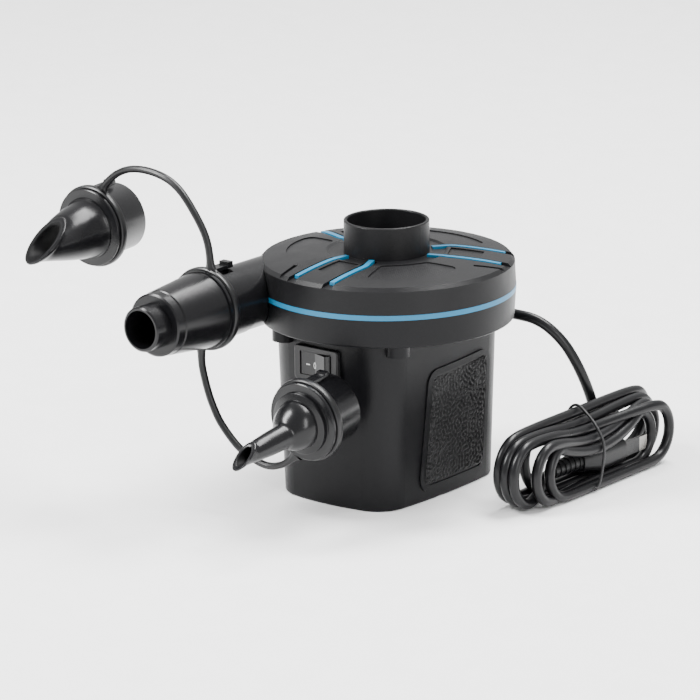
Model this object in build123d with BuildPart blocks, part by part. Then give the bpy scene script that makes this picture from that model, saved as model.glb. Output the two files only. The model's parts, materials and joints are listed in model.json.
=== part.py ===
from build123d import *
from math import cos, pi, radians, sin, tan
import os

os.makedirs("parts", exist_ok=True)

# Electric air mattress pump.
# Frame: origin on the floor under the impeller's axis, +Z up, outlet towards -Y,
# grip panels towards +X and -X. Millimetres.

# ---------------------------------------------------------------- driving dimensions
WALL = 2.2
FIT = 0.05  # radial clearance of a running fit

# Motor housing: an oval cup with a round flange bowl on top
BODY_HALF_X = 32.0
BODY_HALF_Y = 43.5
BODY_BOW_X = 2.5  # how far each flat side bows out
BODY_BOW_Y = 4.0
BODY_CORNER_R = 15.0
BODY_DRAFT = 1.9  # degrees, wider at the top
BODY_FLOOR = 2.6

# Grip panels, (y, z) corners of the right one
GRIP_CORNERS = ((-17.5, 7.0), (-13.0, 55.0), (26.0, 56.5), (24.5, 7.0))
GRIP_CORNER_R = 4.0
GRIP_DEPTH = 1.2
GRIP_BORDER = 2.6
GRIP_BORDER_HEIGHT = 0.7

# Drum: the round blower housing
DRUM_R = 55.0
DRUM_FOOT_R = 54.2
DRUM_BOTTOM = 73.7
STRIPE_BOTTOM = 85.9
STRIPE_TOP = 88.1
DRUM_INNER_R = DRUM_R - WALL
RIM_R = 54.0
RIM_Z = 99.6
CROWN_Z = 102.6  # top of the dome beside the collar
CROWN_R = 26.0
WELL_Z = 101.9  # shallow well around the collar's foot

# Inlet collar on top of the cover
COLLAR_R = 18.25
COLLAR_BORE_R = 16.75
COLLAR_TOP = 116.0

# Screw bosses under the drum
BOSS_RING_R = 49.0
BOSS_ANGLES = (-47, -115, 60, 168)
BOSS_R = 5.0
BOSS_BOTTOM = 69.2
POST_R = 3.0
SCREW_R = 1.5
SCREW_HEAD_R = 2.9

# Outlet: a tube tangent to the drum, pointing towards -Y
PORT_X = -39.2
PORT_Z = 86.2
PORT_R = 14.2
PORT_BORE_R = 12.4
PORT_FRONT_Y = -55.6
SPIGOT_R = 12.8
SPIGOT_BORE_R = 11.2
SPIGOT_END_Y = -72.0
LUG_R = 13.9

# Nozzles: all three share the skirt, the flange and the latch arm
RING_Y = -75.0  # plane of the tether rings' front faces
SKIRT_R = 14.6
SKIRT_BORE_R = 13.1
SKIRT_LENGTH = 19.0
FLANGE_R = 16.9
FLANGE_THICK = 1.6
TETHER_RING_R = 17.8
TETHER_RING_BORE = 14.7
TETHER_THICK = 3.4
TETHER_GAP = 0.3
MEDIUM_X, MEDIUM_Z = -100.8, 112.7
SMALL_X, SMALL_Z = 14.7, 47.0
MEDIUM_PITCH = 4.0  # degrees that the hanging nozzles droop
SMALL_PITCH = 6.0
STRAP_WIDTH = 3.8
STRAP_SPLIT = 1.3  # slot at each flex point of the tether

# Motor, on the Z axis
SHAFT_R = 2.5
ARMATURE_R = 13.0
STATOR_BORE_R = 13.6
STACK_BOTTOM = 32.0
STACK_TOP = 54.0

# Rocker switch in the front wall
SWITCH_X = -1.5
SWITCH_Z = 62.0
SWITCH_FACE_Y = -47.3
SLEEVE_WIDTH = 19.0
SLEEVE_HEIGHT = 12.7
ROCKER_R = 8.2
ROCKER_HEIGHT = 9.8
ROCKER_PIVOT_Y = -44.5
ROCKER_TRAVEL = 20.0  # degrees

# Mains cord
CORD_D = 4.6
CORD_ROUTE = (
    (4.0, 52.0, 67.4),
    (27.0, 52.0, 67.4),
    (40.5, 54.2, 66.3),
    (50.0, 58.1, 58.0),
    (54.8, 62.0, 47.6),
    (57.2, 66.6, 36.4),
    (57.7, 71.4, 25.0),
    (57.6, 78.6, 12.6),
    (57.7, 90.6, 3.6),
    (57.8, 102.0, 2.4),
)
HANK_X = 71.4
HANK_Y = 47.0
HANK_LENGTH = 122.0
HANK_HEIGHT = 33.0
HANK_THICK = 22.4
# Its outline seen from above: the turns at the front are shorter
HANK_PLAN = ((60.0, -12.0), (75.0, -14.0), (83.0, -4.0), (83.0, 99.0), (60.0, 108.5))


def polar(radius, angle):
    return (radius * cos(radians(angle)), radius * sin(radians(angle)))


def body_plan(inset):
    """The motor housing's oval outline, moved in by inset."""
    half_x = BODY_HALF_X - inset
    half_y = BODY_HALF_Y - inset
    corner_x = half_x - BODY_BOW_X
    corner_y = half_y - BODY_BOW_Y
    with BuildSketch() as plan:
        with BuildLine():
            ThreePointArc((-corner_x, -corner_y), (0, -half_y), (corner_x, -corner_y))
            ThreePointArc((corner_x, -corner_y), (half_x, 0), (corner_x, corner_y))
            ThreePointArc((corner_x, corner_y), (0, half_y), (-corner_x, corner_y))
            ThreePointArc((-corner_x, corner_y), (-half_x, 0), (-corner_x, -corner_y))
        make_face()
        fillet(plan.vertices(), BODY_CORNER_R - inset)
    return plan.sketch


def half_width(z):
    """Half the motor housing's width at height z."""
    return BODY_HALF_X + z * tan(radians(BODY_DRAFT))


def half_depth(z):
    """Half the motor housing's depth at height z."""
    return BODY_HALF_Y + z * tan(radians(BODY_DRAFT))


def port_envelope(clearance):
    """The outlet tube's outside, kept outside the drum's inner wall."""
    with BuildPart() as envelope:
        with BuildSketch(Plane.XZ.offset(5)):
            with Locations((PORT_X, PORT_Z)):
                Circle(PORT_R + clearance)
        extrude(amount=55)
        with BuildSketch(Plane.XY.offset(60)):
            Circle(DRUM_INNER_R + 0.1 - clearance)
        extrude(amount=60, mode=Mode.SUBTRACT)
    return envelope.part


def body_solid(inset, height=DRUM_BOTTOM - 6):
    """The motor housing's drafted outside, moved in by inset."""
    with BuildPart() as solid:
        add(body_plan(inset))
        extrude(amount=height, taper=-BODY_DRAFT)
    return solid.part


def grip_prism(side, inset):
    """The grip panel's outline, pushed out sideways from inside the wall."""
    with BuildPart() as prism:
        with BuildSketch(Plane.YZ.offset(side * 24)) as outline:
            with BuildLine():
                FilletPolyline(*GRIP_CORNERS, radius=GRIP_CORNER_R, close=True)
            make_face()
            offset(amount=-inset, kind=Kind.INTERSECTION)
        extrude(amount=side * 16)
    return prism.part


def grip_rim(side):
    """The raised border around one grip panel."""
    with BuildPart() as rim:
        add(grip_prism(side, -GRIP_BORDER))
        add(body_solid(-GRIP_BORDER_HEIGHT), mode=Mode.INTERSECT)
        add(body_solid(0.8), mode=Mode.SUBTRACT)
    return rim.part


def grip_seat(side):
    """The pocket that one grip panel sits in."""
    with BuildPart() as seat:
        add(grip_prism(side, 0))
        add(body_solid(GRIP_DEPTH), mode=Mode.SUBTRACT)
    return seat.part


PORT_POCKET = port_envelope(0.15)
GRIP_BORDERS = [grip_rim(side) for side in (1, -1)]
GRIP_SEATS = [grip_seat(side) for side in (1, -1)]

# ---------------------------------------------------------------- motor housing
with BuildPart() as motor_housing:
    add(body_plan(0))
    extrude(amount=DRUM_BOTTOM + WALL, taper=-BODY_DRAFT)
    fillet(motor_housing.edges().group_by(Axis.Z)[0], 1.2)
    with BuildSketch(Plane.XZ):
        with BuildLine():
            Polyline(
                (0, DRUM_BOTTOM),
                (DRUM_FOOT_R, DRUM_BOTTOM),
                (DRUM_R, STRIPE_BOTTOM),
                (DRUM_INNER_R, STRIPE_BOTTOM),
                (DRUM_INNER_R, DRUM_BOTTOM + WALL),
                (0, DRUM_BOTTOM + WALL),
                close=True,
            )
        make_face()
    revolve(axis=Axis.Z)
    foot_edge = motor_housing.edges().filter_by(GeomType.CIRCLE).filter_by(
        lambda edge: abs(edge.radius - DRUM_FOOT_R) < 0.01
    )
    fillet(foot_edge, 1.0)
    # Screw bosses under the flange
    with BuildSketch(Plane.XY.offset(BOSS_BOTTOM)):
        with Locations(*[polar(BOSS_RING_R, angle) for angle in BOSS_ANGLES]):
            Circle(BOSS_R)
    extrude(amount=DRUM_BOTTOM - BOSS_BOTTOM + 0.5)
    # Cord outlet block on the rear wall, facing +X
    with BuildSketch(Plane.XY.offset(60.5)):
        with Locations((-3.0, 50.0)):
            Rectangle(14, 13)
        fillet(vertices().group_by(Axis.Y)[-1], 3)
    extrude(amount=DRUM_BOTTOM - 60.0)
    # Hollow: the motor's room
    with BuildSketch(Plane.XY.offset(BODY_FLOOR)):
        add(body_plan(WALL))
    extrude(amount=DRUM_BOTTOM + WALL, taper=-BODY_DRAFT, mode=Mode.SUBTRACT)
    # Screw holes with counterbores from below
    with BuildSketch(Plane.XY.offset(BOSS_BOTTOM - 1)):
        with Locations(*[polar(BOSS_RING_R, angle) for angle in BOSS_ANGLES]):
            Circle(SCREW_R + 0.25)
    extrude(amount=12, mode=Mode.SUBTRACT)
    with BuildSketch(Plane.XY.offset(BOSS_BOTTOM - 1)):
        with Locations(*[polar(BOSS_RING_R, angle) for angle in BOSS_ANGLES]):
            Circle(SCREW_HEAD_R + 0.3)
    extrude(amount=3.6, mode=Mode.SUBTRACT)
    # Pocket for the outlet tube
    add(PORT_POCKET, mode=Mode.SUBTRACT)
    # Pocket for the rocker switch
    with BuildSketch(Plane.XZ.offset(30)):
        with Locations((SWITCH_X, SWITCH_Z)):
            Rectangle(SLEEVE_WIDTH + 0.2, SLEEVE_HEIGHT + 0.2)
    extrude(amount=25, mode=Mode.SUBTRACT)
    # Bore for the mains cord, from the outlet block's +X face, then inwards
    with BuildSketch(Plane.YZ.offset(-4)):
        with Locations((CORD_ROUTE[0][1], CORD_ROUTE[0][2])):
            Circle(CORD_D / 2 + 0.15)
    extrude(amount=12, mode=Mode.SUBTRACT)
    with BuildSketch(Plane.XZ.offset(-54.0)):
        with Locations((-4.0, CORD_ROUTE[0][2])):
            Circle(CORD_D / 2 + 0.15)
    extrude(amount=14, mode=Mode.SUBTRACT)
    # Cooling slots in the floor
    with BuildSketch(Plane.XY.offset(-1)):
        with GridLocations(9.0, 0, 4, 1):
            SlotOverall(34, 3.0, rotation=90)
    extrude(amount=6, mode=Mode.SUBTRACT)
    # Raised borders and shallow seats for the two grip panels
    add(GRIP_BORDERS)
    add(GRIP_SEATS, mode=Mode.SUBTRACT)
motor_housing.part.label = "motor_housing"
export_step(motor_housing.part, "parts/motor_housing.step")

# ---------------------------------------------------------------- grip panels
for side, side_name in ((1, "right"), (-1, "left")):
    with BuildPart() as grip_panel:
        add(grip_prism(side, 0.15))
        add(body_solid(-0.25), mode=Mode.INTERSECT)
        add(body_solid(GRIP_DEPTH), mode=Mode.SUBTRACT)
    grip_panel.part.label = f"grip_panel_{side_name}"
    export_step(grip_panel.part, f"parts/grip_panel_{side_name}.step")

# ---------------------------------------------------------------- accent ring
with BuildPart() as accent_ring:
    with BuildSketch(Plane.XY.offset(STRIPE_BOTTOM)):
        Circle(DRUM_R + 0.1)
        Circle(DRUM_INNER_R, mode=Mode.SUBTRACT)
    extrude(amount=STRIPE_TOP - STRIPE_BOTTOM)
    add(PORT_POCKET, mode=Mode.SUBTRACT)
accent_ring.part.label = "accent_ring"
export_step(accent_ring.part, "parts/accent_ring.step")


# ---------------------------------------------------------------- top cover
def dome(drop):
    """A disc under the cover's crown surface, lowered by drop."""
    with BuildPart() as disc:
        with BuildSketch(Plane.XZ):
            with BuildLine():
                Polyline(
                    (0, STRIPE_TOP), (RIM_R + 3, STRIPE_TOP), (RIM_R + 3, RIM_Z - 0.8 - drop),
                    (RIM_R - 1, RIM_Z - drop),
                )
                ThreePointArc(
                    (RIM_R - 1, RIM_Z - drop),
                    (40.0, 101.5 - drop),
                    (CROWN_R, CROWN_Z - drop),
                )
                Polyline((CROWN_R, CROWN_Z - drop), (0, CROWN_Z - drop), (0, STRIPE_TOP))
            make_face()
        revolve(axis=Axis.Z)
    return disc.part


def arm_lines(width):
    """Plan of the swept lines: two to each of the three arms, width wide."""
    line_a = ((19.4, 3.2), (28.3, 6.5), polar(58, 20.8))
    line_b = ((12.8, 14.9), (18.5, 22.3), polar(58, 39.6))
    with BuildSketch() as plan:
        for arm in range(3):
            for start, bend, end in (line_a, line_b):
                with BuildLine(Plane.XY.rotated((0, 0, 120 * arm))) as run:
                    FilletPolyline(start, bend, end, radius=9)
                trace(run.line, line_width=width)
    return plan.sketch


def arm_floor():
    """Plan of the ribbed recess between the two lines of each arm."""
    with BuildSketch() as plan:
        for arm in range(3):
            turn = 120 * arm
            with BuildLine():
                Polyline(
                    polar(27.0, turn + 20), polar(41.0, turn + 23.0),
                    polar(41.5, turn + 37.0), polar(27.5, turn + 43),
                    close=True,
                )
            make_face()
    return plan.sketch


def sector_dish():
    """Plan of the shallow curved dish between neighbouring arms."""
    with BuildSketch() as plan:
        for arm in range(3):
            turn = 120 * arm
            with BuildLine():
                ThreePointArc(polar(27.5, turn + 63), polar(27.0, turn + 85), polar(27.5, turn + 106))
                Line(polar(27.5, turn + 106), polar(41.0, turn + 116))
                ThreePointArc(polar(41.0, turn + 116), polar(43.6, turn + 84), polar(44.6, turn + 56))
                Line(polar(44.6, turn + 56), polar(27.5, turn + 63))
            make_face()
        fillet(plan.vertices(), 3.0)
    return plan.sketch


def cover_recess(plan, depth):
    """A recess of even depth in the crown surface, over a plan."""
    with BuildPart() as cutter:
        with BuildSketch(Plane.XY.offset(STRIPE_TOP + 4)):
            add(plan)
        extrude(amount=20)
        add(dome(depth), mode=Mode.SUBTRACT)
    return cutter.part


GROOVE_DEPTH = 1.3
with BuildPart() as top_cover:
    with BuildSketch(Plane.XZ):
        with BuildLine():
            Polyline(
                (DRUM_INNER_R, STRIPE_TOP), (DRUM_R, STRIPE_TOP),
                (RIM_R + 0.5, RIM_Z - 1.6), (RIM_R - 1, RIM_Z),
            )
            ThreePointArc((RIM_R - 1, RIM_Z), (40.0, 101.5), (CROWN_R, CROWN_Z))
            Polyline(
                (CROWN_R, CROWN_Z), (CROWN_R - 1.2, WELL_Z), (COLLAR_R, WELL_Z),
                (COLLAR_R, COLLAR_TOP), (COLLAR_BORE_R, COLLAR_TOP),
                (COLLAR_BORE_R, WELL_Z - 3.0), (CROWN_R, WELL_Z - 3.0),
                (DRUM_INNER_R - 2.5, RIM_Z - 3.4), (DRUM_INNER_R, RIM_Z - 5.5),
                (DRUM_INNER_R, STRIPE_TOP),
            )
        make_face()
    revolve(axis=Axis.Z)
    fillet(
        top_cover.edges().filter_by(GeomType.CIRCLE).group_by(Axis.Z)[-1],
        0.6,
    )
    # Screw posts inside, reaching down to the flange
    with BuildSketch(Plane.XY.offset(DRUM_BOTTOM + WALL)):
        with Locations(*[polar(BOSS_RING_R, angle) for angle in BOSS_ANGLES]):
            Circle(POST_R)
    extrude(amount=RIM_Z - 2.2 - DRUM_BOTTOM - WALL)
    with BuildSketch(Plane.XY.offset(DRUM_BOTTOM + WALL)):
        with Locations(*[polar(BOSS_RING_R, angle) for angle in BOSS_ANGLES]):
            Circle(SCREW_R - 0.3)
    extrude(amount=14, mode=Mode.SUBTRACT)
    # Two lugs inside the collar
    for angle in (50, 230):
        with BuildSketch(Plane.XY.offset(107)):
            with Locations(polar(COLLAR_BORE_R - 0.4, angle)):
                Rectangle(2.4, 3.2, rotation=angle)
        extrude(amount=4)
    # Grooves, recesses and dishes
    add(cover_recess(arm_lines(4.6), GROOVE_DEPTH), mode=Mode.SUBTRACT)
    add(cover_recess(arm_floor(), 0.6), mode=Mode.SUBTRACT)
    add(cover_recess(sector_dish(), 0.5), mode=Mode.SUBTRACT)
    # Short slots that notch the rim ahead of each arm
    with BuildSketch() as slot_plan:
        for arm in range(3):
            with BuildLine(Plane.XY.rotated((0, 0, 120 * arm))) as slot_line:
                Line(polar(43.1, 5.6), polar(57.0, 14.5))
            trace(slot_line.line, line_width=2.0)
    add(cover_recess(slot_plan.sketch, 1.0), mode=Mode.SUBTRACT)
    add(PORT_POCKET, mode=Mode.SUBTRACT)
top_cover.part.label = "top_cover"
export_step(top_cover.part, "parts/top_cover.step")

# ---------------------------------------------------------------- accent inlays
with BuildPart() as accent_inlays:
    with BuildSketch(Plane.XY.offset(STRIPE_TOP + 4)):
        add(arm_lines(2.3))
        Circle(50.5, mode=Mode.INTERSECT)
    extrude(amount=20)
    add(dome(-0.15), mode=Mode.INTERSECT)
    add(dome(GROOVE_DEPTH - 0.05), mode=Mode.SUBTRACT)
accent_inlays.part.label = "accent_inlays"
export_step(accent_inlays.part, "parts/accent_inlays.step")

# ---------------------------------------------------------------- inlet guard
with BuildPart() as inlet_guard:
    with BuildSketch(Plane.XY.offset(WELL_Z - 3.0)) as guard_plan:
        Circle(COLLAR_BORE_R - 0.1)
        for ring_r in (13.6, 10.2, 6.8):
            Circle(ring_r, mode=Mode.SUBTRACT)
            Circle(ring_r - 1.8, mode=Mode.ADD)
        Circle(5.0)
        with PolarLocations(8.5, 6):
            Rectangle(13.0, 1.6)
    extrude(amount=2.2)
inlet_guard.part.label = "inlet_guard"
export_step(inlet_guard.part, "parts/inlet_guard.step")

# ---------------------------------------------------------------- housing screws
with BuildPart() as housing_screws:
    with BuildSketch(Plane.XY.offset(BOSS_BOTTOM + 0.6)):
        with Locations(*[polar(BOSS_RING_R, angle) for angle in BOSS_ANGLES]):
            Circle(SCREW_HEAD_R)
    extrude(amount=2.0)
    with BuildSketch(Plane.XY.offset(BOSS_BOTTOM + 0.6)):
        with Locations(*[polar(BOSS_RING_R, angle) for angle in BOSS_ANGLES]):
            Rectangle(3.4, 0.8)
            Rectangle(0.8, 3.4)
    extrude(amount=1.0, mode=Mode.SUBTRACT)
    with BuildSketch(Plane.XY.offset(BOSS_BOTTOM + 2.6)):
        with Locations(*[polar(BOSS_RING_R, angle) for angle in BOSS_ANGLES]):
            Circle(SCREW_R - 0.3)
    extrude(amount=14.0)
housing_screws.part.label = "housing_screws"
export_step(housing_screws.part, "parts/housing_screws.step")

# ---------------------------------------------------------------- outlet port
OUTLET = Plane(origin=(PORT_X, 0, PORT_Z), x_dir=(1, 0, 0), z_dir=(0, -1, 0))
with BuildPart() as outlet_port:
    with BuildSketch(OUTLET.offset(5)):
        Circle(PORT_R)
    extrude(amount=-PORT_FRONT_Y - 5)
    with BuildSketch(OUTLET.offset(-PORT_FRONT_Y)):
        Circle(SPIGOT_R)
    extrude(amount=PORT_FRONT_Y - SPIGOT_END_Y)
    with BuildSketch(OUTLET.offset(66.5)):
        with Locations((0, SPIGOT_R)):
            Rectangle(3.0, 2 * (LUG_R - SPIGOT_R))
    extrude(amount=3.0)
    with BuildSketch(OUTLET.offset(5)):
        Circle(PORT_BORE_R)
    extrude(amount=-PORT_FRONT_Y - 5 - 1.0, mode=Mode.SUBTRACT)
    with BuildSketch(OUTLET.offset(5)):
        Circle(SPIGOT_BORE_R)
    extrude(amount=80, mode=Mode.SUBTRACT)
    with BuildSketch(Plane.XY.offset(60)):
        Circle(DRUM_INNER_R)
    extrude(amount=60, mode=Mode.SUBTRACT)
outlet_port.part.label = "outlet_port"
export_step(outlet_port.part, "parts/outlet_port.step")

# ---------------------------------------------------------------- motor deck
DECK_R = 45.2
DECK_BOTTOM = DRUM_BOTTOM + WALL
DECK_THICK = 2.2
BEARING_R = 6.5
BEARING_HEIGHT = 5.0
TOP_BEARING_Z = 68.0
DECK_SCREW_ANGLES = (25, 145, 265)
DECK_SCREW_RING = 41.0
MOTOR_SCREW_X = 21.5
with BuildPart() as motor_deck:
    with BuildSketch(Plane.XY.offset(DECK_BOTTOM)):
        Circle(DECK_R)
    extrude(amount=DECK_THICK)
    # Bearing cup under the deck, with a web down to it
    with BuildSketch(Plane.XY.offset(TOP_BEARING_Z - 1.5)):
        Circle(BEARING_R + 2.5)
    extrude(amount=DECK_BOTTOM - TOP_BEARING_Z + 1.5)
    with BuildSketch(Plane.XY.offset(TOP_BEARING_Z - 2)):
        Circle(BEARING_R)
    extrude(amount=BEARING_HEIGHT + 2, mode=Mode.SUBTRACT)
    with BuildSketch(Plane.XY.offset(TOP_BEARING_Z)):
        Circle(SHAFT_R + 0.6)
    extrude(amount=20, mode=Mode.SUBTRACT)
    # Two posts that carry the stator
    with BuildSketch(Plane.XY.offset(STACK_TOP)):
        with Locations((MOTOR_SCREW_X, 0), (-MOTOR_SCREW_X, 0)):
            Circle(3.2)
    extrude(amount=DECK_BOTTOM - STACK_TOP)
    with BuildSketch(Plane.XY.offset(STACK_TOP)):
        with Locations((MOTOR_SCREW_X, 0), (-MOTOR_SCREW_X, 0)):
            Circle(1.4)
    extrude(amount=12, mode=Mode.SUBTRACT)
motor_deck.part.label = "motor_deck"
export_step(motor_deck.part, "parts/motor_deck.step")

# ---------------------------------------------------------------- bearings
with BuildPart() as upper_bearing:
    with BuildSketch(Plane.XY.offset(TOP_BEARING_Z)):
        Circle(BEARING_R)
        Circle(SHAFT_R + FIT, mode=Mode.SUBTRACT)
    extrude(amount=BEARING_HEIGHT)
upper_bearing.part.label = "upper_bearing"
export_step(upper_bearing.part, "parts/upper_bearing.step")

LOW_BEARING_Z = 9.0
with BuildPart() as lower_bearing:
    with BuildSketch(Plane.XY.offset(LOW_BEARING_Z)):
        Circle(BEARING_R)
        Circle(SHAFT_R + FIT, mode=Mode.SUBTRACT)
    extrude(amount=BEARING_HEIGHT)
lower_bearing.part.label = "lower_bearing"
export_step(lower_bearing.part, "parts/lower_bearing.step")

# ---------------------------------------------------------------- rotor
SHAFT_BOTTOM = 8.0
SHAFT_TOP = 95.5
IMPELLER_BASE = 80.6
with BuildPart() as motor_shaft:
    with BuildSketch(Plane.XY.offset(SHAFT_BOTTOM)):
        Circle(SHAFT_R)
    extrude(amount=SHAFT_TOP - SHAFT_BOTTOM)
    chamfer(motor_shaft.edges().filter_by(GeomType.CIRCLE), 0.4)
motor_shaft.part.label = "motor_shaft"
export_step(motor_shaft.part, "parts/motor_shaft.step")

SLOTS = 10
with BuildPart() as armature_core:
    with BuildSketch(Plane.XY.offset(STACK_BOTTOM)):
        Circle(ARMATURE_R)
        Circle(SHAFT_R, mode=Mode.SUBTRACT)
        with PolarLocations(ARMATURE_R - 3.4, SLOTS):
            Circle(2.3, mode=Mode.SUBTRACT)
        with PolarLocations(ARMATURE_R, SLOTS):
            Rectangle(3.0, 1.4, mode=Mode.SUBTRACT)
    extrude(amount=STACK_TOP - STACK_BOTTOM)
armature_core.part.label = "armature_core"
export_step(armature_core.part, "parts/armature_core.step")

with BuildPart() as armature_windings:
    with BuildSketch(Plane.XY.offset(STACK_BOTTOM - 5.0)):
        with PolarLocations(ARMATURE_R - 3.4, SLOTS):
            Circle(2.15)
    extrude(amount=STACK_TOP - STACK_BOTTOM + 10)
    for end_z in (STACK_BOTTOM - 5.5, STACK_TOP):
        with BuildSketch(Plane.XY.offset(end_z)):
            Circle(ARMATURE_R - 1.2)
            Circle(SHAFT_R + 1.5, mode=Mode.SUBTRACT)
        extrude(amount=5.5)
    ends = armature_windings.edges().filter_by(GeomType.CIRCLE).filter_by(
        lambda edge: abs(edge.radius - ARMATURE_R + 1.2) < 0.01
    )
    fillet([ends.sort_by(Axis.Z)[0], ends.sort_by(Axis.Z)[-1]], 2.0)
armature_windings.part.label = "armature_windings"
export_step(armature_windings.part, "parts/armature_windings.step")

COMMUTATOR_R = 8.5
COMMUTATOR_BOTTOM = 17.0
COMMUTATOR_TOP = 25.5
with BuildPart() as commutator:
    with BuildSketch(Plane.XY.offset(COMMUTATOR_BOTTOM)):
        Circle(COMMUTATOR_R)
        Circle(SHAFT_R, mode=Mode.SUBTRACT)
    extrude(amount=COMMUTATOR_TOP - COMMUTATOR_BOTTOM)
    with BuildSketch(Plane.XY.offset(COMMUTATOR_BOTTOM + 1)):
        with PolarLocations(COMMUTATOR_R, 20):
            Rectangle(1.6, 0.35)
    extrude(amount=COMMUTATOR_TOP, mode=Mode.SUBTRACT)
    with BuildSketch(Plane.XY.offset(COMMUTATOR_TOP - 1.2)):
        Circle(COMMUTATOR_R + 1.0)
        Circle(SHAFT_R, mode=Mode.SUBTRACT)
    extrude(amount=1.2)
commutator.part.label = "commutator"
export_step(commutator.part, "parts/commutator.step")

IMPELLER_R = 42.0
HUB_R = 7.0
BLADES = 9
BLADE_TOP = 94.6
with BuildPart() as impeller:
    with BuildSketch(Plane.XY.offset(IMPELLER_BASE)):
        Circle(IMPELLER_R)
    extrude(amount=1.6)
    with BuildSketch(Plane.XY.offset(IMPELLER_BASE)):
        for blade in range(BLADES):
            turn = 360 / BLADES * blade
            with BuildLine() as vane:
                ThreePointArc(
                    polar(13.0, turn), polar(27.0, turn - 17.0), polar(IMPELLER_R - 0.8, turn - 44)
                )
            trace(vane.line, line_width=1.4)
    extrude(amount=BLADE_TOP - IMPELLER_BASE)
    with BuildSketch(Plane.XY.offset(IMPELLER_BASE)):
        Circle(HUB_R)
    extrude(amount=11.0)
    with BuildSketch(Plane.XY.offset(IMPELLER_BASE - 1)):
        Circle(SHAFT_R)
    extrude(amount=30, mode=Mode.SUBTRACT)
impeller.part.label = "impeller"
export_step(impeller.part, "parts/impeller.step")

with BuildPart() as impeller_nut:
    with BuildSketch(Plane.XY.offset(IMPELLER_BASE + 11.0)):
        RegularPolygon(4.4, 6)
        Circle(SHAFT_R, mode=Mode.SUBTRACT)
    extrude(amount=2.6)
impeller_nut.part.label = "impeller_nut"
export_step(impeller_nut.part, "parts/impeller_nut.step")

# ---------------------------------------------------------------- stator
STATOR_HALF_X = 26.0
STATOR_HALF_Y = 21.0
with BuildPart() as stator_core:
    with BuildSketch(Plane.XY.offset(STACK_BOTTOM)) as lamination:
        Rectangle(2 * STATOR_HALF_X, 2 * STATOR_HALF_Y)
        fillet(lamination.vertices(), 9.0)
        Circle(STATOR_BORE_R, mode=Mode.SUBTRACT)
        # Windows for the field coils, above and below the pole faces
        for side in (1, -1):
            with Locations((0, side * 13.2)):
                Rectangle(27.0, 6.0, mode=Mode.SUBTRACT)
        with Locations((MOTOR_SCREW_X, 0), (-MOTOR_SCREW_X, 0)):
            Circle(1.7, mode=Mode.SUBTRACT)
    extrude(amount=STACK_TOP - STACK_BOTTOM)
stator_core.part.label = "stator_core"
export_step(stator_core.part, "parts/stator_core.step")

with BuildPart() as field_coils:
    for side in (1, -1):
        with BuildSketch(Plane.XZ.offset(-side * 14.7 - 1.3)):
            with Locations((0, (STACK_BOTTOM + STACK_TOP) / 2)):
                RectangleRounded(25.0, STACK_TOP - STACK_BOTTOM + 11.0, 4.5)
                Rectangle(19.0, STACK_TOP - STACK_BOTTOM + 0.6, mode=Mode.SUBTRACT)
        extrude(amount=2.6)
field_coils.part.label = "field_coils"
export_step(field_coils.part, "parts/field_coils.step")

# ---------------------------------------------------------------- lower bracket
BRACKET_Z = 14.0
with BuildPart() as lower_bracket:
    with BuildSketch(Plane.XY.offset(LOW_BEARING_Z)):
        Circle(BEARING_R + 2.2)
        Circle(BEARING_R, mode=Mode.SUBTRACT)
    extrude(amount=BEARING_HEIGHT)
    with BuildSketch(Plane.XY.offset(LOW_BEARING_Z)):
        for side in (1, -1):
            with Locations((side * 16.0, 0)):
                Rectangle(17.0, 9.0)
            with Locations((0, side * 13.0)):
                Rectangle(13.0, 12.0)
        Circle(BEARING_R, mode=Mode.SUBTRACT)
    extrude(amount=2.2)
    with BuildSketch(Plane.XY.offset(LOW_BEARING_Z)):
        with Locations((MOTOR_SCREW_X, 0), (-MOTOR_SCREW_X, 0)):
            Circle(3.2)
    extrude(amount=STACK_BOTTOM - LOW_BEARING_Z)
    with BuildSketch(Plane.XY.offset(LOW_BEARING_Z - 1)):
        with Locations((MOTOR_SCREW_X, 0), (-MOTOR_SCREW_X, 0)):
            Circle(1.7)
    extrude(amount=STACK_BOTTOM, mode=Mode.SUBTRACT)
lower_bracket.part.label = "lower_bracket"
export_step(lower_bracket.part, "parts/lower_bracket.step")

with BuildPart() as motor_screws:
    with BuildSketch(Plane.XY.offset(LOW_BEARING_Z - 2.0)):
        with Locations((MOTOR_SCREW_X, 0), (-MOTOR_SCREW_X, 0)):
            Circle(2.8)
    extrude(amount=2.0)
    with BuildSketch(Plane.XY.offset(LOW_BEARING_Z)):
        with Locations((MOTOR_SCREW_X, 0), (-MOTOR_SCREW_X, 0)):
            Circle(1.4)
    extrude(amount=STACK_TOP + 11.0 - LOW_BEARING_Z)
motor_screws.part.label = "motor_screws"
export_step(motor_screws.part, "parts/motor_screws.step")

# ---------------------------------------------------------------- brushes
BRUSH_Z = 21.0
BRUSH_TIP = COMMUTATOR_R + 0.3
with BuildPart() as brush_holders:
    for side in (1, -1):
        with BuildSketch(Plane.XZ.offset(-side * 11.0)) as tube:
            with Locations((0, BRUSH_Z)):
                Rectangle(7.6, 7.0)
                Rectangle(5.2, 4.6, mode=Mode.SUBTRACT)
        extrude(amount=-side * 13.0)
        with BuildSketch(Plane.XY.offset(LOW_BEARING_Z + 2.2)):
            with Locations((0, side * 15.0)):
                Rectangle(6.0, 6.0)
        extrude(amount=BRUSH_Z - 3.5 - LOW_BEARING_Z - 2.2)
        with BuildSketch(Plane.XZ.offset(-side * 24.0)):
            with Locations((0, BRUSH_Z)):
                Rectangle(7.6, 7.0)
        extrude(amount=-side * 1.0)
brush_holders.part.label = "brush_holders"
export_step(brush_holders.part, "parts/brush_holders.step")

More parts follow.
